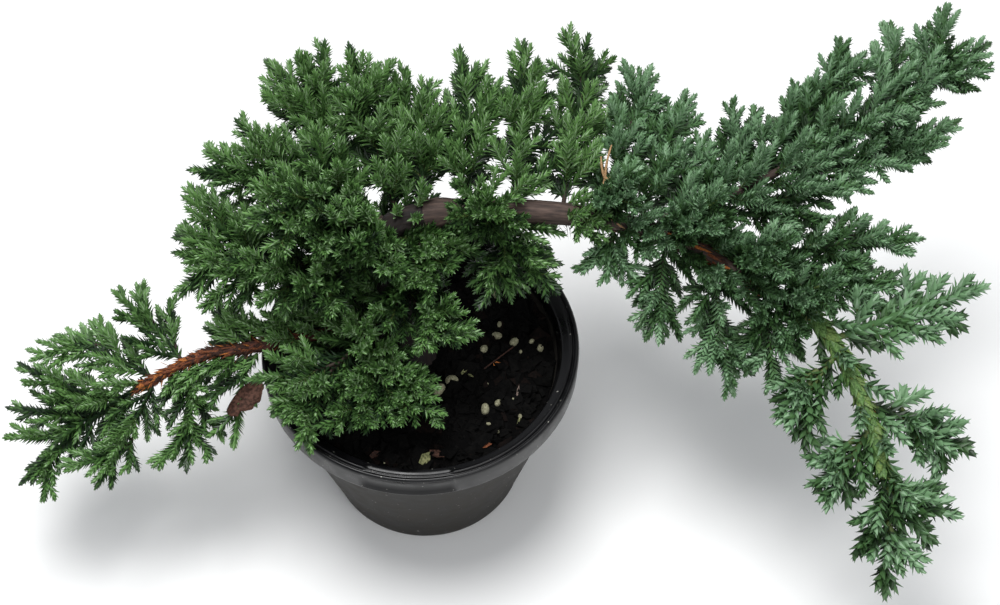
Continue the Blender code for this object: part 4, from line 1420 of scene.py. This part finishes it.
@dataclass
class Flakes:
    """Small flat blades that stand on a limb: peeling bark, dead needles or pressed leaves.

    Lengths are in mm. The lift is the angle to the limb, and the sides are angles round it from its top.
    """

    name: str
    limb: str
    span: Pair
    pitch: float
    length: Pair
    width: Pair
    lift: Pair
    kinds: tuple[Tissue, ...]
    slot: str = "bark"
    sides: Pair = (0.0, 360.0)
    root_width: float = 0.9
    # A blade's root is at this share of the bark's radius, and it turns aside by about this much.
    rooted: float = 0.96
    aside: float = 0.16
    seed: int = 1

    def build(self, form: Form, sunk: float, finishes: dict[Tissue, Material]) -> None:
        """Makes the blades' piece.

        Args:
            form: The plant's limbs.
            sunk: The share of the limb's radius that its bark lies at.
            finishes: The material of each dry tissue.
        """
        rng = np.random.default_rng(self.seed)
        limb, path = form.limbs[self.limb], form.paths[self.limb]
        total = lengths_along(path)[-1]
        count = round(total * (self.span[1] - self.span[0]) / self.pitch)
        shares = between(self.span, (np.arange(count) + rng.random(count)) / count)
        at = [point_along(path, share) for share in shares]
        places, ahead = (np.array(parts) for parts in zip(*at))
        above = square_to(UP, ahead)
        angle = np.radians(rng.uniform(*self.sides, count))[:, None]
        radial = np.cos(angle) * above + np.sin(angle) * np.cross(ahead, above)
        radii = np.array([form.radius(limb, share, share * total) for share in shares])[:, None] * sunk
        lift = np.radians(rng.uniform(*self.lift, count))[:, None]
        skew = unit(ahead + rng.normal(0, self.aside, (count, 1)) * np.cross(ahead, radial))
        heading = skew * np.cos(lift) + radial * np.sin(lift)
        outward = square_to(radial, heading)
        long = rng.uniform(*self.length, (count, 1))
        wide = rng.uniform(*self.width, (count, 1)) / 2
        corners = blades(places + radial * radii * self.rooted, heading, outward, long, wide, self.root_width)
        faces = repeated_faces(BLADE_FACES, count, BLADE_CORNERS)
        materials = [finishes[kind] for kind in self.kinds]
        piece = mesh_piece(self.name, corners.reshape(-1, 3), faces, materials, False)
        deal_materials(piece, np.repeat(rng.integers(0, len(materials), count), len(BLADE_FACES)))


@dataclass
class BareTwig:
    """A dead forked twig on top of the main bough, its needles long gone."""

    foot: Place = (84.5, 32.0, 170.5)
    fork: Place = (88.0, 42.5, 179.0)
    tips: tuple[Place, ...] = (
        (91.0, 55.0, 189.0),
        (96.0, 43.5, 183.0),
        (86.0, 50.0, 186.5),
    )
    # The radii at the foot and at the tips, the way that each stretch bows, and its knots.
    thickness: Pair = (1.1, 0.4)
    bow: float = 0.7
    knots: Pair = (0.18, 17)
    sides: int = 8
    rings: int = 7

    def build(self, finish: Material) -> None:
        """Makes the twig's piece.

        Args:
            finish: Its dry bark.
        """
        points, faces = [], []
        foot, fork = np.array(self.foot), np.array(self.fork)
        runs = [(foot, fork, self.thickness[0], self.thickness[0] * 0.8)]
        runs += [(fork, np.array(tip), self.thickness[0] * 0.7, self.thickness[1]) for tip in self.tips]
        angle = np.arange(self.sides) * math.tau / self.sides
        offset = 0
        for number, (start, end, thick, thin) in enumerate(runs):
            ahead = unit(end - start)
            across = unit(np.cross(ahead, (0.3, 0.1, 1.0)))
            spokes = np.cos(angle)[:, None] * across + np.sin(angle)[:, None] * np.cross(across, ahead)
            steps = np.linspace(0, 1, self.rings)
            bow = np.sin(steps * math.pi)[:, None] * across * self.bow * (-1) ** number
            knots = 1 + self.knots[0] * np.sin(steps * self.knots[1] + number)
            spine = start + steps[:, None] * (end - start) + bow
            girth = (thick + (thin - thick) * steps) * knots
            points.append((spine[:, None] + spokes * girth[:, None, None]).reshape(-1, 3))
            faces.append(tube_faces(self.rings, self.sides) + offset)
            offset += self.rings * self.sides
        piece = mesh_piece("bare_twig", np.vstack(points), np.vstack(faces), [finish], True)


@dataclass
class DeadLeaf:
    """A curled brown leaf from another plant, caught between the rim and the left-hand needles."""

    base: Place = (-90.8, -38.0, 100.5)
    tip: Place = (-75.6, -23.0, 105.6)
    width: float = 11.0
    thickness: float = 0.5
    # How far the leaf's edges curl up, and how far its middle bows.
    curl: float = 2.2
    bow: float = 1.2
    # The groove along its middle.
    rib: float = 0.5
    # The leaf's outline: the further past 1, the nearer its widest part is to the tip. Less than 1 is blunt.
    widest: float = 1.2
    bluntness: float = 0.55
    # The width of its ends, the depth of its near edge's tears and its far half's width, as shares.
    end_width: float = 0.3
    tear: float = 0.264
    far_half: float = 0.8
    rows: int = 18
    columns: int = 9

    def build(self, finish: Material) -> None:
        """Makes the leaf's piece.

        Args:
            finish: The dry leaf's material.
        """
        base, tip = np.array(self.base), np.array(self.tip)
        along = np.linspace(0, 1, self.rows)[:, None]
        aside = np.linspace(-1, 1, self.columns)[None]
        ahead = unit(tip - base)
        across = unit(np.cross(ahead, (0.25, -0.35, 1.0)))
        above = np.cross(across, ahead)
        # The half on the far side is narrow and whole, and the near one has a torn edge.
        torn = 1 + self.tear * value_noise(along * (9, 0, 0), 3)[:, None]
        ragged = np.where(aside > 0, torn, self.far_half)
        # Its outline is widest past the middle, blunt at both ends.
        outline = np.sin(math.pi * along**self.widest) ** self.bluntness
        half = self.width / 2 * (self.end_width + (1 - self.end_width) * outline) * ragged
        rib = self.rib * (np.abs(aside) < 0.1)
        up = self.curl * aside**2 + self.bow * np.sin(math.pi * along) - rib
        places = base + along[..., None] * (tip - base) + (half * aside)[..., None] * across
        places += up[..., None] * above
        top = places.reshape(-1, 3)
        bottom = top - above * self.thickness
        row = np.arange(self.rows - 1)[:, None] * self.columns
        column = np.arange(self.columns - 1)
        near, far = row + column, row + self.columns + column
        upper = np.stack((near, near + 1, far + 1, far), axis=2).reshape(-1, 4)
        lower = upper[:, ::-1] + len(top)
        first = np.arange(self.rows * self.columns).reshape(self.rows, self.columns)
        edge = np.concatenate([first[0, :-1], first[:-1, -1], first[-1, :0:-1], first[:0:-1, 0]])
        after = np.roll(edge, -1)
        rim = np.stack([edge, edge + len(top), after + len(top), after], axis=1)
        faces = np.vstack([upper[:, ::-1], lower[:, ::-1], rim])
        piece = mesh_piece("dead_leaf", np.vstack([top, bottom]), faces, [finish], True)


@dataclass(frozen=True)
class NurseryPlastic:
    """Black polypropylene, blown into a mould and sent out unpolished.

    The wall looks dark grey where fine scuffs catch the light, and the lip, which is pressed thicker, is a
    cleaner black with a soft sheen. White specks are dust and grit from the potting bench.
    """

    name: str
    base: str
    scuffed: str
    roughness: Pair
    # How strongly it mirrors, where 0.5 is clean plastic and less is a dull skin.
    mirror: float
    ior: float = 1.49
    dust: str = "#8f8d86"
    # The blotches', the scuffs' and the dust specks' widths in mm.
    blotch: float = 9.0
    grain: float = 0.5
    speck: float = 1.3

    def dress(self) -> Material:
        """Makes the material."""
        material, tree, shader = new_material(self.name)
        place = add_node(tree, "TexCoord", {}, {}).outputs["Object"]
        patterns = (
            add_node(tree, "TexNoise", {"Scale": 1 / (width * MM), "Detail": detail}, {"Vector": place})
            for width, detail in ((self.blotch, 4.0), (self.grain, 2.0), (self.speck, 0.0))
        )
        blotches, grains, specks = (pattern.outputs["Fac"] for pattern in patterns)
        stops = ((0.36, self.base), (0.68, self.scuffed))
        ramp = add_node(tree, "ValToRGB", {"stops": stops}, {"Fac": blotches})
        dusty = add_node(tree, "MapRange", {"From Min": 0.82, "From Max": 0.85}, {"Value": specks})
        links = {"Fac": dusty.outputs["Result"], "Color1": ramp.outputs["Color"]}
        mixed = add_node(tree, "MixRGB", {}, links)
        mixed.inputs["Color2"].default_value = linear(self.dust)
        tree.links.new(mixed.outputs["Color"], shader.inputs["Base Color"])
        smooth, dull = self.roughness
        settings = {"From Min": 0.3, "From Max": 0.7, "To Min": smooth, "To Max": dull}
        gloss = add_node(tree, "MapRange", settings, {"Value": blotches})
        tree.links.new(gloss.outputs["Result"], shader.inputs["Roughness"])
        bump = add_node(tree, "Bump", {"Strength": 0.12, "Distance": 0.1 * MM}, {"Height": grains})
        tree.links.new(bump.outputs["Normal"], shader.inputs["Normal"])
        shader.inputs["IOR"].default_value = self.ior
        shader.inputs["Specular IOR Level"].default_value = self.mirror
        return material


@dataclass
class Pot:
    """The round nursery pot: a thin tapered wall, a deep skirt and a lip with a groove inside it."""

    steps: int = 360
    rim: float = RIM_RADIUS
    top: float = POT_HEIGHT
    base: float = BASE_RADIUS
    shoulder: float = BODY_TOP_RADIUS
    inside: float = WALL_TOP_RADIUS
    # The front has a flat hand grip in degrees from +X, where the skirt stands back and the ridge stops.
    grip: Pair = (-110.0, -76.0)
    grip_edge: float = 1.6
    grip_depth: float = 1.3
    ridge_drop: float = 0.9
    # How far the blown wall is out of round, as a share of its radius.
    out_of_round: float = 0.0012
    # The wall's waist is at this share of its height and of the way out to its shoulder.
    waist: float = 0.62

    def profile(self) -> list[tuple[float, float, str]]:
        """The pot's section from the floor's centre, up its inside, over the lip and down to its underside.

        Returns:
            Each corner's radius and height, and the part of the pot that it belongs to.
        """
        rim, top, base, shoulder, inside = self.rim, self.top, self.base, self.shoulder, self.inside
        foot = top - SKIRT_HEIGHT
        waist = self.waist * shoulder + (1 - self.waist) * base
        stretches = (
            ("wall", ((0.0, 2.4), (base - 4.2, 2.4), (base - 2.4, 3.6))),
            ("lip", (
                (inside - 2.0, top - 9.5), (inside - 0.5, top - 4.4), (inside, top - 3.2),
                (inside + 0.9, top - 2.5), (rim - 5.2, top - 1.5),
            )),
            ("ridge", (
                (rim - 4.7, top - 1.1), (rim - 4.3, top - 0.7), (rim - 3.9, top - 0.5),
                (rim - 3.5, top - 0.6), (rim - 3.2, top - 1.0),
            )),
            ("lip", ((rim - 2.9, top - 1.6), (rim - 2.5, top - 1.7))),
            ("crest", (
                (rim - 2.2, top - 1.0), (rim - 1.9, top - 0.3), (rim - 1.5, top),
                (rim - 0.9, top - 0.1), (rim - 0.4, top - 0.5), (rim - 0.1, top - 1.2),
            )),
            ("skirt", ((rim, top - 2.4), (rim - 0.15, 0.5 * (top + foot)), (rim - 0.3, foot + 2.2))),
            ("crest", ((rim - 0.4, foot + 1.2), (rim - 0.7, foot + 0.3))),
            ("lip", ((rim - 1.2, foot),)),
            ("wall", (
                (shoulder + 0.8, foot), (shoulder + 0.1, foot - 0.7), (shoulder - 0.3, foot - 3.0),
                (waist, self.waist * foot), (base + 0.9, 6.0), (base + 0.1, 2.0), (base - 0.5, 0.6),
                (base - 1.8, 0.0), (base - 6.0, 0.0), (base - 7.0, 0.5), (0.0, 0.5),
            )),
        )
        return [(across, up, part) for part, corners in stretches for across, up in corners]

    def build(self, wall: Material, lip: Material) -> bpy.types.Object:
        """Makes the pot's piece.

        Args:
            wall: The blown wall's plastic.
            lip: The pressed lip's plastic.

        Returns:
            The piece, which replaces the pot's solid.
        """
        section = self.profile()
        parts = np.array([part for _, _, part in section])
        angle = np.arange(self.steps) * math.tau / self.steps
        radius = np.repeat([[across] for across, _, _ in section], self.steps, axis=1)
        height = np.repeat([[up] for _, up, _ in section], self.steps, axis=1)
        degrees = (np.degrees(angle) + 180) % 360 - 180
        held = np.clip((degrees - self.grip[0]) / self.grip_edge, 0, 1)
        held *= np.clip((self.grip[1] - degrees) / self.grip_edge, 0, 1)
        height -= (parts == "ridge")[:, None] * held * self.ridge_drop
        radius -= (parts == "skirt")[:, None] * held * self.grip_depth
        circle = np.stack([np.cos(angle) * 1.5, np.sin(angle) * 1.5, angle * 0], axis=1)
        radius *= 1 + self.out_of_round * value_noise(circle, 4)
        points = np.stack([radius * np.cos(angle), radius * np.sin(angle), height], axis=2).reshape(-1, 3)
        faces = tube_faces(len(section), self.steps)
        piece = mesh_piece("nursery_pot", points, faces, [wall, lip], True)
        deal_materials(piece, np.repeat(parts[:-1] != "wall", self.steps))
        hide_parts("pot")
        return piece


@dataclass(frozen=True)
class PottingMix:
    """Composted bark and peat, moist, so nearly black, with a dull grain and a little shine on wet chips."""

    name: str
    dark: str
    light: str
    # A crumb's width in mm.
    crumb: float
    roughness: float
    mirror: float = 0.1

    def dress(self) -> Material:
        """Makes the material."""
        material, tree, shader = new_material(self.name)
        place = add_node(tree, "TexCoord", {}, {}).outputs["Object"]
        settings = {"Scale": 1 / (self.crumb * MM), "Detail": 4.0}
        crumbs = add_node(tree, "TexNoise", settings, {"Vector": place}).outputs["Fac"]
        stops = ((0.4, self.dark), (0.7, self.light))
        ramp = add_node(tree, "ValToRGB", {"stops": stops}, {"Fac": crumbs})
        tree.links.new(ramp.outputs["Color"], shader.inputs["Base Color"])
        bump = add_node(tree, "Bump", {"Strength": 0.5, "Distance": 0.4 * MM}, {"Height": crumbs})
        tree.links.new(bump.outputs["Normal"], shader.inputs["Normal"])
        shader.inputs["Roughness"].default_value = self.roughness
        shader.inputs["Specular IOR Level"].default_value = self.mirror
        return material


class Ground(Enum):
    """What the potting mix is made of."""

    MIX = PottingMix("peat_and_bark_mix", "#010101", "#050404", 1.2, 0.95)
    CHIP = PottingMix("composted_bark_chip", "#010101", "#080706", 1.6, 0.85)
    BROWN_CHIP = PottingMix("fresh_bark_chip", "#070403", "#140c09", 1.6, 0.85)
    PERLITE = PottingMix("expanded_perlite", "#75735c", "#a3a187", 0.8, 0.85)


def soil_height(radius: np.ndarray) -> np.ndarray:
    """The soil's height at a distance from the pot's axis, as the solid has it."""
    shoulder = 0.75 * WALL_TOP_RADIUS
    return np.interp(
        radius,
        [0, SOIL_LEVEL_RADIUS, shoulder, WALL_TOP_RADIUS],
        [SOIL_TOP, SOIL_TOP, SOIL_TOP - 0.4 * SOIL_FALL, SOIL_TOP - SOIL_FALL],
    )


# About how steeply a lump lies, as a slope.
LUMP_TILT = 0.35


def lumps(places: Point, sizes: Point, seed: int, jitter: float) -> tuple[Point, np.ndarray]:
    """Works out small rough lumps: boxes whose corners are moved and that lie at every angle.

    Args:
        places: Each lump's middle.
        sizes: Each lump's half length, half width and half thickness.
        seed: The random numbers' seed.
        jitter: How far a corner may move, as a share of the half sizes.

    Returns:
        The points and the faces.
    """
    rng = np.random.default_rng(seed)
    box = np.array([(x, y, z) for x in (-1, 1) for y in (-1, 1) for z in (-1, 1)], float)
    sides = np.array([(0, 1, 3, 2), (4, 6, 7, 5), (0, 4, 5, 1), (2, 3, 7, 6), (0, 2, 6, 4), (1, 5, 7, 3)])
    corners = (box + rng.uniform(-jitter, jitter, (len(places), *box.shape))) * sizes[:, None]
    turn = rng.uniform(0, math.tau, len(places))
    tilt = rng.normal(0, LUMP_TILT, (len(places), 2))
    along = unit(np.stack([np.cos(turn), np.sin(turn), tilt[:, 0]], axis=1))
    above = np.stack([tilt[:, 1], tilt[:, 0], np.ones(len(places))], axis=1)
    above = square_to(above, along)
    axes = np.stack([along, np.cross(above, along), above], axis=1)
    points = places[:, None] + corners @ axes
    return points.reshape(-1, 3), repeated_faces(sides, len(places), len(box))


@dataclass
class Soil:
    """The potting mix's surface: bark chips, crumbs and white perlite, with bits of dead leaf."""

    chips: int = 2600
    reach: float = WALL_TOP_RADIUS - 3.2
    # A chip's half length comes from a gamma law, by its shape and its scale in mm, within two limits.
    chip_law: Pair = (2.2, 0.8)
    chip_limits: Pair = (0.6, 6.0)
    # Its width as a share of its length, its least half thickness and what its length adds to that.
    chip_width: Pair = (0.4, 0.8)
    chip_thickness: Pair = (0.3, 0.22)
    chip_jitter: float = 0.35
    # The share of chips that are fresh and brown.
    brown_share: float = 0.1
    # The grains that the photograph shows, as x, y and half width, and how many small ones are strewn.
    grains: tuple[Place, ...] = (
        (37.2, 38.8, 2.6), (38.5, 19.5, 1.6), (37.0, 12.5, 2.5), (45.8, 9.0, 2.3),
        (54.5, 9.5, 1.5), (58.8, 6.0, 2.2), (30.8, 4.5, 2.3), (49.0, 3.2, 1.0),
        (15.0, -14.5, 2.9), (9.2, -19.8, 3.0), (31.5, -30.5, 2.5), (37.8, -27.0, 2.0),
        (33.4, -38.5, 1.2), (37.5, -42.5, 1.0), (48.5, -34.0, 1.3), (22.8, 13.0, 1.0),
    )
    strewn: int = 26
    small_grain: Pair = (0.5, 1.1)
    # Other bits: x, y, the half sizes, the way it points in degrees and what it is.
    litter: tuple[tuple[float, float, float, float, float, Tissue], ...] = (
        (3.6, -57.5, 4.2, 2.4, 60.0, Tissue.STRAW),
        (9.4, -55.6, 4.6, 2.0, -20.0, Tissue.LEAF),
        (32.1, -50.3, 3.2, 1.5, 10.0, Tissue.RUSSET),
        (37.4, -4.4, 1.9, 1.1, 20.0, Tissue.ORANGE),
        (21.6, -8.8, 2.6, 0.9, 50.0, Tissue.STRAW),
        (24.6, -11.6, 1.9, 0.7, -40.0, Tissue.STRAW),
        (47.6, -19.5, 3.4, 0.6, 80.0, Tissue.GREY),
        (-20.2, -55.3, 3.0, 1.6, 35.0, Tissue.DARK),
        (-2.5, -23.3, 3.0, 1.5, 15.0, Tissue.STRAW),
        (48.0, -36.0, 2.4, 0.5, 70.0, Tissue.STRAW),
        (12.0, 52.0, 3.6, 1.6, 30.0, Tissue.LEAF),
        (-38.0, 40.0, 4.0, 1.8, -60.0, Tissue.LEAF),
    )
    # The thin twig's two ends, and its half width and height.
    twig: tuple[Pair, Pair] = ((31.0, -8.0), (45.6, 5.6))
    twig_size: Pair = (0.35, 0.6)

    def _strewn(self, count: int, rng: np.random.Generator, sunk: float) -> Point:
        """Random places on the soil's surface, each sunk by up to some of the depth."""
        radius = self.reach * np.sqrt(rng.uniform(0, 1, count))
        angle = rng.uniform(0, math.tau, count)
        height = soil_height(radius) + rng.uniform(-sunk, 0.6, count)
        return np.stack([radius * np.cos(angle), radius * np.sin(angle), height], axis=1)

    @staticmethod
    def _settle(spots: np.ndarray, raised: float) -> Point:
        """Puts flat places on the soil's surface, a little raised."""
        height = soil_height(np.hypot(spots[:, 0], spots[:, 1])) + raised
        return np.column_stack([spots[:, :2], height])

    def bark(self, finishes: dict[Ground, Material]) -> None:
        """Makes the bark chips, small crumbs among larger flat ones."""
        rng = np.random.default_rng(7)
        places = self._strewn(self.chips, rng, 1.6)
        long = rng.gamma(*self.chip_law, self.chips).clip(*self.chip_limits)
        wide = long * rng.uniform(*self.chip_width, self.chips)
        thick = self.chip_thickness[0] + self.chip_thickness[1] * long
        points, faces = lumps(places, np.stack([long, wide, thick], axis=1), 8, self.chip_jitter)
        chips = [finishes[Ground.CHIP], finishes[Ground.BROWN_CHIP]]
        piece = mesh_piece("bark_chips", points, faces, chips, False)
        deal_materials(piece, np.repeat(rng.random(self.chips) < self.brown_share, len(faces) // self.chips))

    def perlite(self, finishes: dict[Ground, Material]) -> None:
        """Makes the perlite, round popped grains that are smoothed by subdivision."""
        rng = np.random.default_rng(9)
        shown = np.array(self.grains)
        places = np.vstack([self._settle(shown, 1.2), self._strewn(self.strewn, rng, 0.5)])
        # Subdivision shrinks a grain, so those of the photograph are made larger first.
        size = np.concatenate([shown[:, 2] * 1.2, rng.uniform(*self.small_grain, self.strewn)])[:, None]
        long, thick = rng.uniform(0.95, 1.2, len(size)), rng.uniform(0.7, 0.95, (len(size), 2))
        points, faces = lumps(places, size * np.column_stack([long, thick]), 9, 0.2)
        piece = mesh_piece("perlite_grains", points, faces, [finishes[Ground.PERLITE]], True)
        rounding = piece.modifiers.new("Round", "SUBSURF")
        rounding.levels = 2
        rounding.render_levels = 2

    def leaf_bits(self, finishes: dict[Tissue, Material]) -> None:
        """Makes the bits of leaf and bark that lie on the mix, and the thin twig."""
        rng = np.random.default_rng(11)
        places = self._settle(np.array([bit[:2] for bit in self.litter]), 1.5)
        turn = np.radians([bit[4] for bit in self.litter])
        ahead = np.stack([np.cos(turn), np.sin(turn), rng.uniform(-0.1, 0.25, len(turn))], axis=1)
        ahead = unit(ahead)
        above = square_to(np.array([0.1, -0.2, 1.0]), ahead)
        long, wide = (np.array([[bit[at]] for bit in self.litter]) for at in (2, 3))
        corners = blades(places - ahead * long, ahead, -above, 2 * long, wide, 0.6)
        faces = repeated_faces(BLADE_FACES, len(turn), BLADE_CORNERS)
        kinds = list(dict.fromkeys(bit[5] for bit in self.litter))
        dealt = np.repeat([kinds.index(bit[5]) for bit in self.litter], len(BLADE_FACES))
        ends = self._settle(np.array(self.twig), 2.2)
        side = unit(np.cross(ends[1] - ends[0], UP)) * self.twig_size[0]
        prism = np.vstack([ends - side, ends + side, ends + UP * self.twig_size[1]])
        sticks = [(0, 1, 3), (0, 3, 2), (0, 4, 5), (0, 5, 1), (2, 3, 5), (2, 5, 4), (0, 2, 4), (1, 5, 3)]
        sticks = np.array(sticks) + corners.size // 3
        points = np.vstack([corners.reshape(-1, 3), prism])
        finish = [finishes[kind] for kind in kinds]
        piece = mesh_piece("leaf_litter", points, np.vstack([faces, sticks]), finish, False)
        deal_materials(piece, np.concatenate([dealt, np.full(len(sticks), kinds.index(Tissue.DARK))]))

    def build(self, finishes: dict[Ground, Material], dry: dict[Tissue, Material]) -> None:
        """Dresses the soil's solid and makes what lies on it.

        Args:
            finishes: The material of each part of the mix.
            dry: The material of each dry tissue.
        """
        frame["nodes"]["soil"].data.materials.clear()
        frame["nodes"]["soil"].data.materials.append(finishes[Ground.MIX])
        self.bark(finishes)
        self.perlite(finishes)
        self.leaf_bits(dry)


@dataclass(frozen=True)
class WhiteBoard:
    """Matt white painted board. The eye sees an even pale floor with the faintest mottle."""

    name: str = "matt_white_board"
    dark: str = "#efefee"
    light: str = "#f4f4f3"
    # The mottle's width in metres.
    mottle: float = 0.33

    def dress(self) -> Material:
        """Makes the material."""
        material, tree, shader = new_material(self.name)
        place = add_node(tree, "TexCoord", {}, {}).outputs["Object"]
        mottle = add_node(tree, "TexNoise", {"Scale": 1 / self.mottle, "Detail": 2.0}, {"Vector": place})
        stops = ((0.0, self.dark), (1.0, self.light))
        ramp = add_node(tree, "ValToRGB", {"stops": stops}, {"Fac": mottle.outputs["Fac"]})
        tree.links.new(ramp.outputs["Color"], shader.inputs["Base Color"])
        shader.inputs["Roughness"].default_value = 0.9
        return material


@dataclass(frozen=True)
class Lamp:
    """A round soft lamp: where it hangs, how wide it is, in metres, and its power in watts."""

    name: str
    place: Place
    size: float
    power: float


@dataclass
class Studio:
    """A pale floor, soft light and the camera at the photograph's angle. Lengths are in metres."""

    eye: Place = (0.0388, -0.4970, 0.8283)
    target: Place = (0.0388, 0.0248, 0.1049)
    lens: float = 64.8
    sensor: float = 36.0
    floor_size: float = 4.0
    sky_strength: float = 0.5
    lamps: tuple[Lamp, ...] = (
        Lamp("sky_panel", (-0.15, 0.1, 1.5), 0.8, 21.0),
        Lamp("front_panel", (0.5, -0.9, 0.9), 0.7, 4.0),
    )

    def _aimed(self, name: str, data: bpy.types.ID, place: Place) -> bpy.types.Object:
        """Adds a lamp or camera at a place, aimed at the plant."""
        thing = bpy.data.objects.new(name, data)
        thing.location = place
        thing.rotation_euler = (Vector(self.target) - Vector(place)).to_track_quat("-Z", "Y").to_euler()
        bpy.context.scene.collection.objects.link(thing)
        return thing

    def floor(self) -> None:
        """Makes the floor, a sheet of painted board that reaches past every view."""
        half = self.floor_size / 2
        mesh = bpy.data.meshes.new("floor")
        corners = [(-half, -half, 0), (half, -half, 0), (half, half, 0), (-half, half, 0)]
        mesh.from_pydata(corners, [], [(0, 1, 2, 3)])
        mesh.materials.append(WhiteBoard().dress())
        board = bpy.data.objects.new("floor", mesh)
        bpy.context.scene.collection.objects.link(board)

    def light(self) -> None:
        """Lights the plant as an overcast sky does: evenly, with more from above."""
        world = bpy.data.worlds.new("overcast")
        world.use_nodes = True
        sky = world.node_tree.nodes["Background"]
        sky.inputs["Color"].default_value = linear("#f7faff")
        sky.inputs["Strength"].default_value = self.sky_strength
        bpy.context.scene.world = world
        for lamp in self.lamps:
            panel = bpy.data.lights.new(lamp.name, "AREA")
            panel.shape = "DISK"
            panel.size = lamp.size
            panel.energy = lamp.power
            self._aimed(lamp.name, panel, lamp.place)

    def camera(self) -> None:
        """Adds the camera where the photograph was taken from."""
        camera = bpy.data.cameras.new("camera")
        camera.lens = self.lens
        camera.sensor_width = self.sensor
        camera.clip_start = 0.01
        bpy.context.scene.camera = self._aimed("camera", camera, self.eye)
        bpy.context.scene.view_settings.view_transform = "Standard"


FLAKES = (
    Flakes(
        "left_bough_scales", "left_bough", (0.3, 0.75), 0.15, (2.6, 5.2), (1.2, 2.2), (5, 26),
        (Tissue.DARK, Tissue.DARK, Tissue.RUSSET),
    ),
    Flakes(
        "left_bough_tip_scales", "left_bough", (0.75, 1.0), 0.17, (2.6, 5.2), (1.2, 2.2), (5, 26),
        (Tissue.RUSSET, Tissue.DARK, Tissue.RUSSET, Tissue.ORANGE), seed=10,
    ),
    Flakes(
        "left_bough_peel", "left_bough", (0.55, 1.0), 1.0, (4.5, 8.5), (0.8, 1.5), (6, 30),
        (Tissue.ORANGE, Tissue.RUSSET), seed=2,
    ),
    Flakes(
        "left_bough_spines", "left_bough", (0.34, 1.0), 1.3, (3.5, 6.5), (0.6, 0.9), (38, 78),
        (Tissue.ORANGE, Tissue.RUSSET), seed=3,
    ),
    Flakes(
        "leader_scales", "leader_bough", (0.0, 1.0), 0.26, (6.0, 8.5), (3.0, 4.4), (8, 30),
        (Tissue.OLIVE, Tissue.MOSS, Tissue.MOSS), "green_bark", seed=4,
    ),
    Flakes(
        "leader_nodes", "leader_bough", (0.0, 0.7), 5.0, (2.0, 3.2), (1.6, 2.4), (26, 40),
        (Tissue.RUSSET,), "green_bark", seed=9,
    ),
    Flakes(
        "trunk_top_flakes", "main_bough", (0.0, 0.13), 0.5, (2.0, 4.5), (0.9, 1.8), (3, 22),
        (Tissue.DARK, Tissue.GREY), seed=5,
    ),
    Flakes(
        "bough_shreds", "main_bough", (0.38, 0.56), 0.3, (4.0, 9.0), (0.5, 1.1), (2, 12),
        (Tissue.GREY, Tissue.DARK, Tissue.TAN), seed=6,
    ),
    Flakes(
        "bough_bristles", "main_bough", (0.3, 0.52), 0.7, (5.0, 9.0), (0.4, 0.7), (45, 85),
        (Tissue.DARK,), sides=(110, 230), seed=7,
    ),
    Flakes(
        "bough_peel", "main_bough", (0.58, 0.95), 0.35, (4.0, 9.0), (0.9, 1.7), (4, 26),
        (Tissue.RUSSET, Tissue.DARK, Tissue.DARK, Tissue.ORANGE), seed=8,
    ),
)


def main() -> None:
    """Builds the pot, the soil, the limbs and the foliage in order, then the studio round them."""
    logging.basicConfig(level=logging.INFO, format="%(message)s")
    form = Form()
    wall = NurseryPlastic("blown_black_polypropylene", "#161411", "#27241f", (0.55, 0.7), 0.3).dress()
    lip = NurseryPlastic("pressed_black_polypropylene", "#030304", "#0a0a0c", (0.24, 0.42), 0.35).dress()
    Pot().build(wall, lip)
    dry = {kind: kind.value.dress() for kind in Tissue}
    Soil().build({part: part.value.dress() for part in Ground}, dry)
    ages = {
        # The trunk and the front bough get the near-black bark that is painted shade.
        "trunk": (BarkAge.WEATHERED, "bark"),
        "front_bough": (BarkAge.WEATHERED, "bark"),
        "left_bough": (BarkAge.RED, "red_bark"),
        "leader_bough": (BarkAge.YOUNG, "green_bark"),
    }
    barks = {age: age.value.dress() for age in BarkAge}
    for limb in LIMBS:
        age, slot = ages.get(limb.name, (BarkAge.OLD, "bark"))
        LimbSkin(limb, form, age).build(barks[age], slot)
    for flakes in FLAKES:
        age, _ = ages.get(flakes.limb, (BarkAge.OLD, "bark"))
        flakes.build(form, age.value.sunk, dry)
    BareTwig().build(dry[Tissue.TAN])
    DeadLeaf().build(dry[Tissue.LEAF])
    shades = {shade: shade.value.dress() for shade in Shade}
    for region in REGIONS:
        foliage = Foliage(region, form)
        foliage.grow()
        foliage.build(shades)
    studio = Studio()
    studio.floor()
    studio.light()
    studio.camera()


if __name__ == "__main__":
    main()
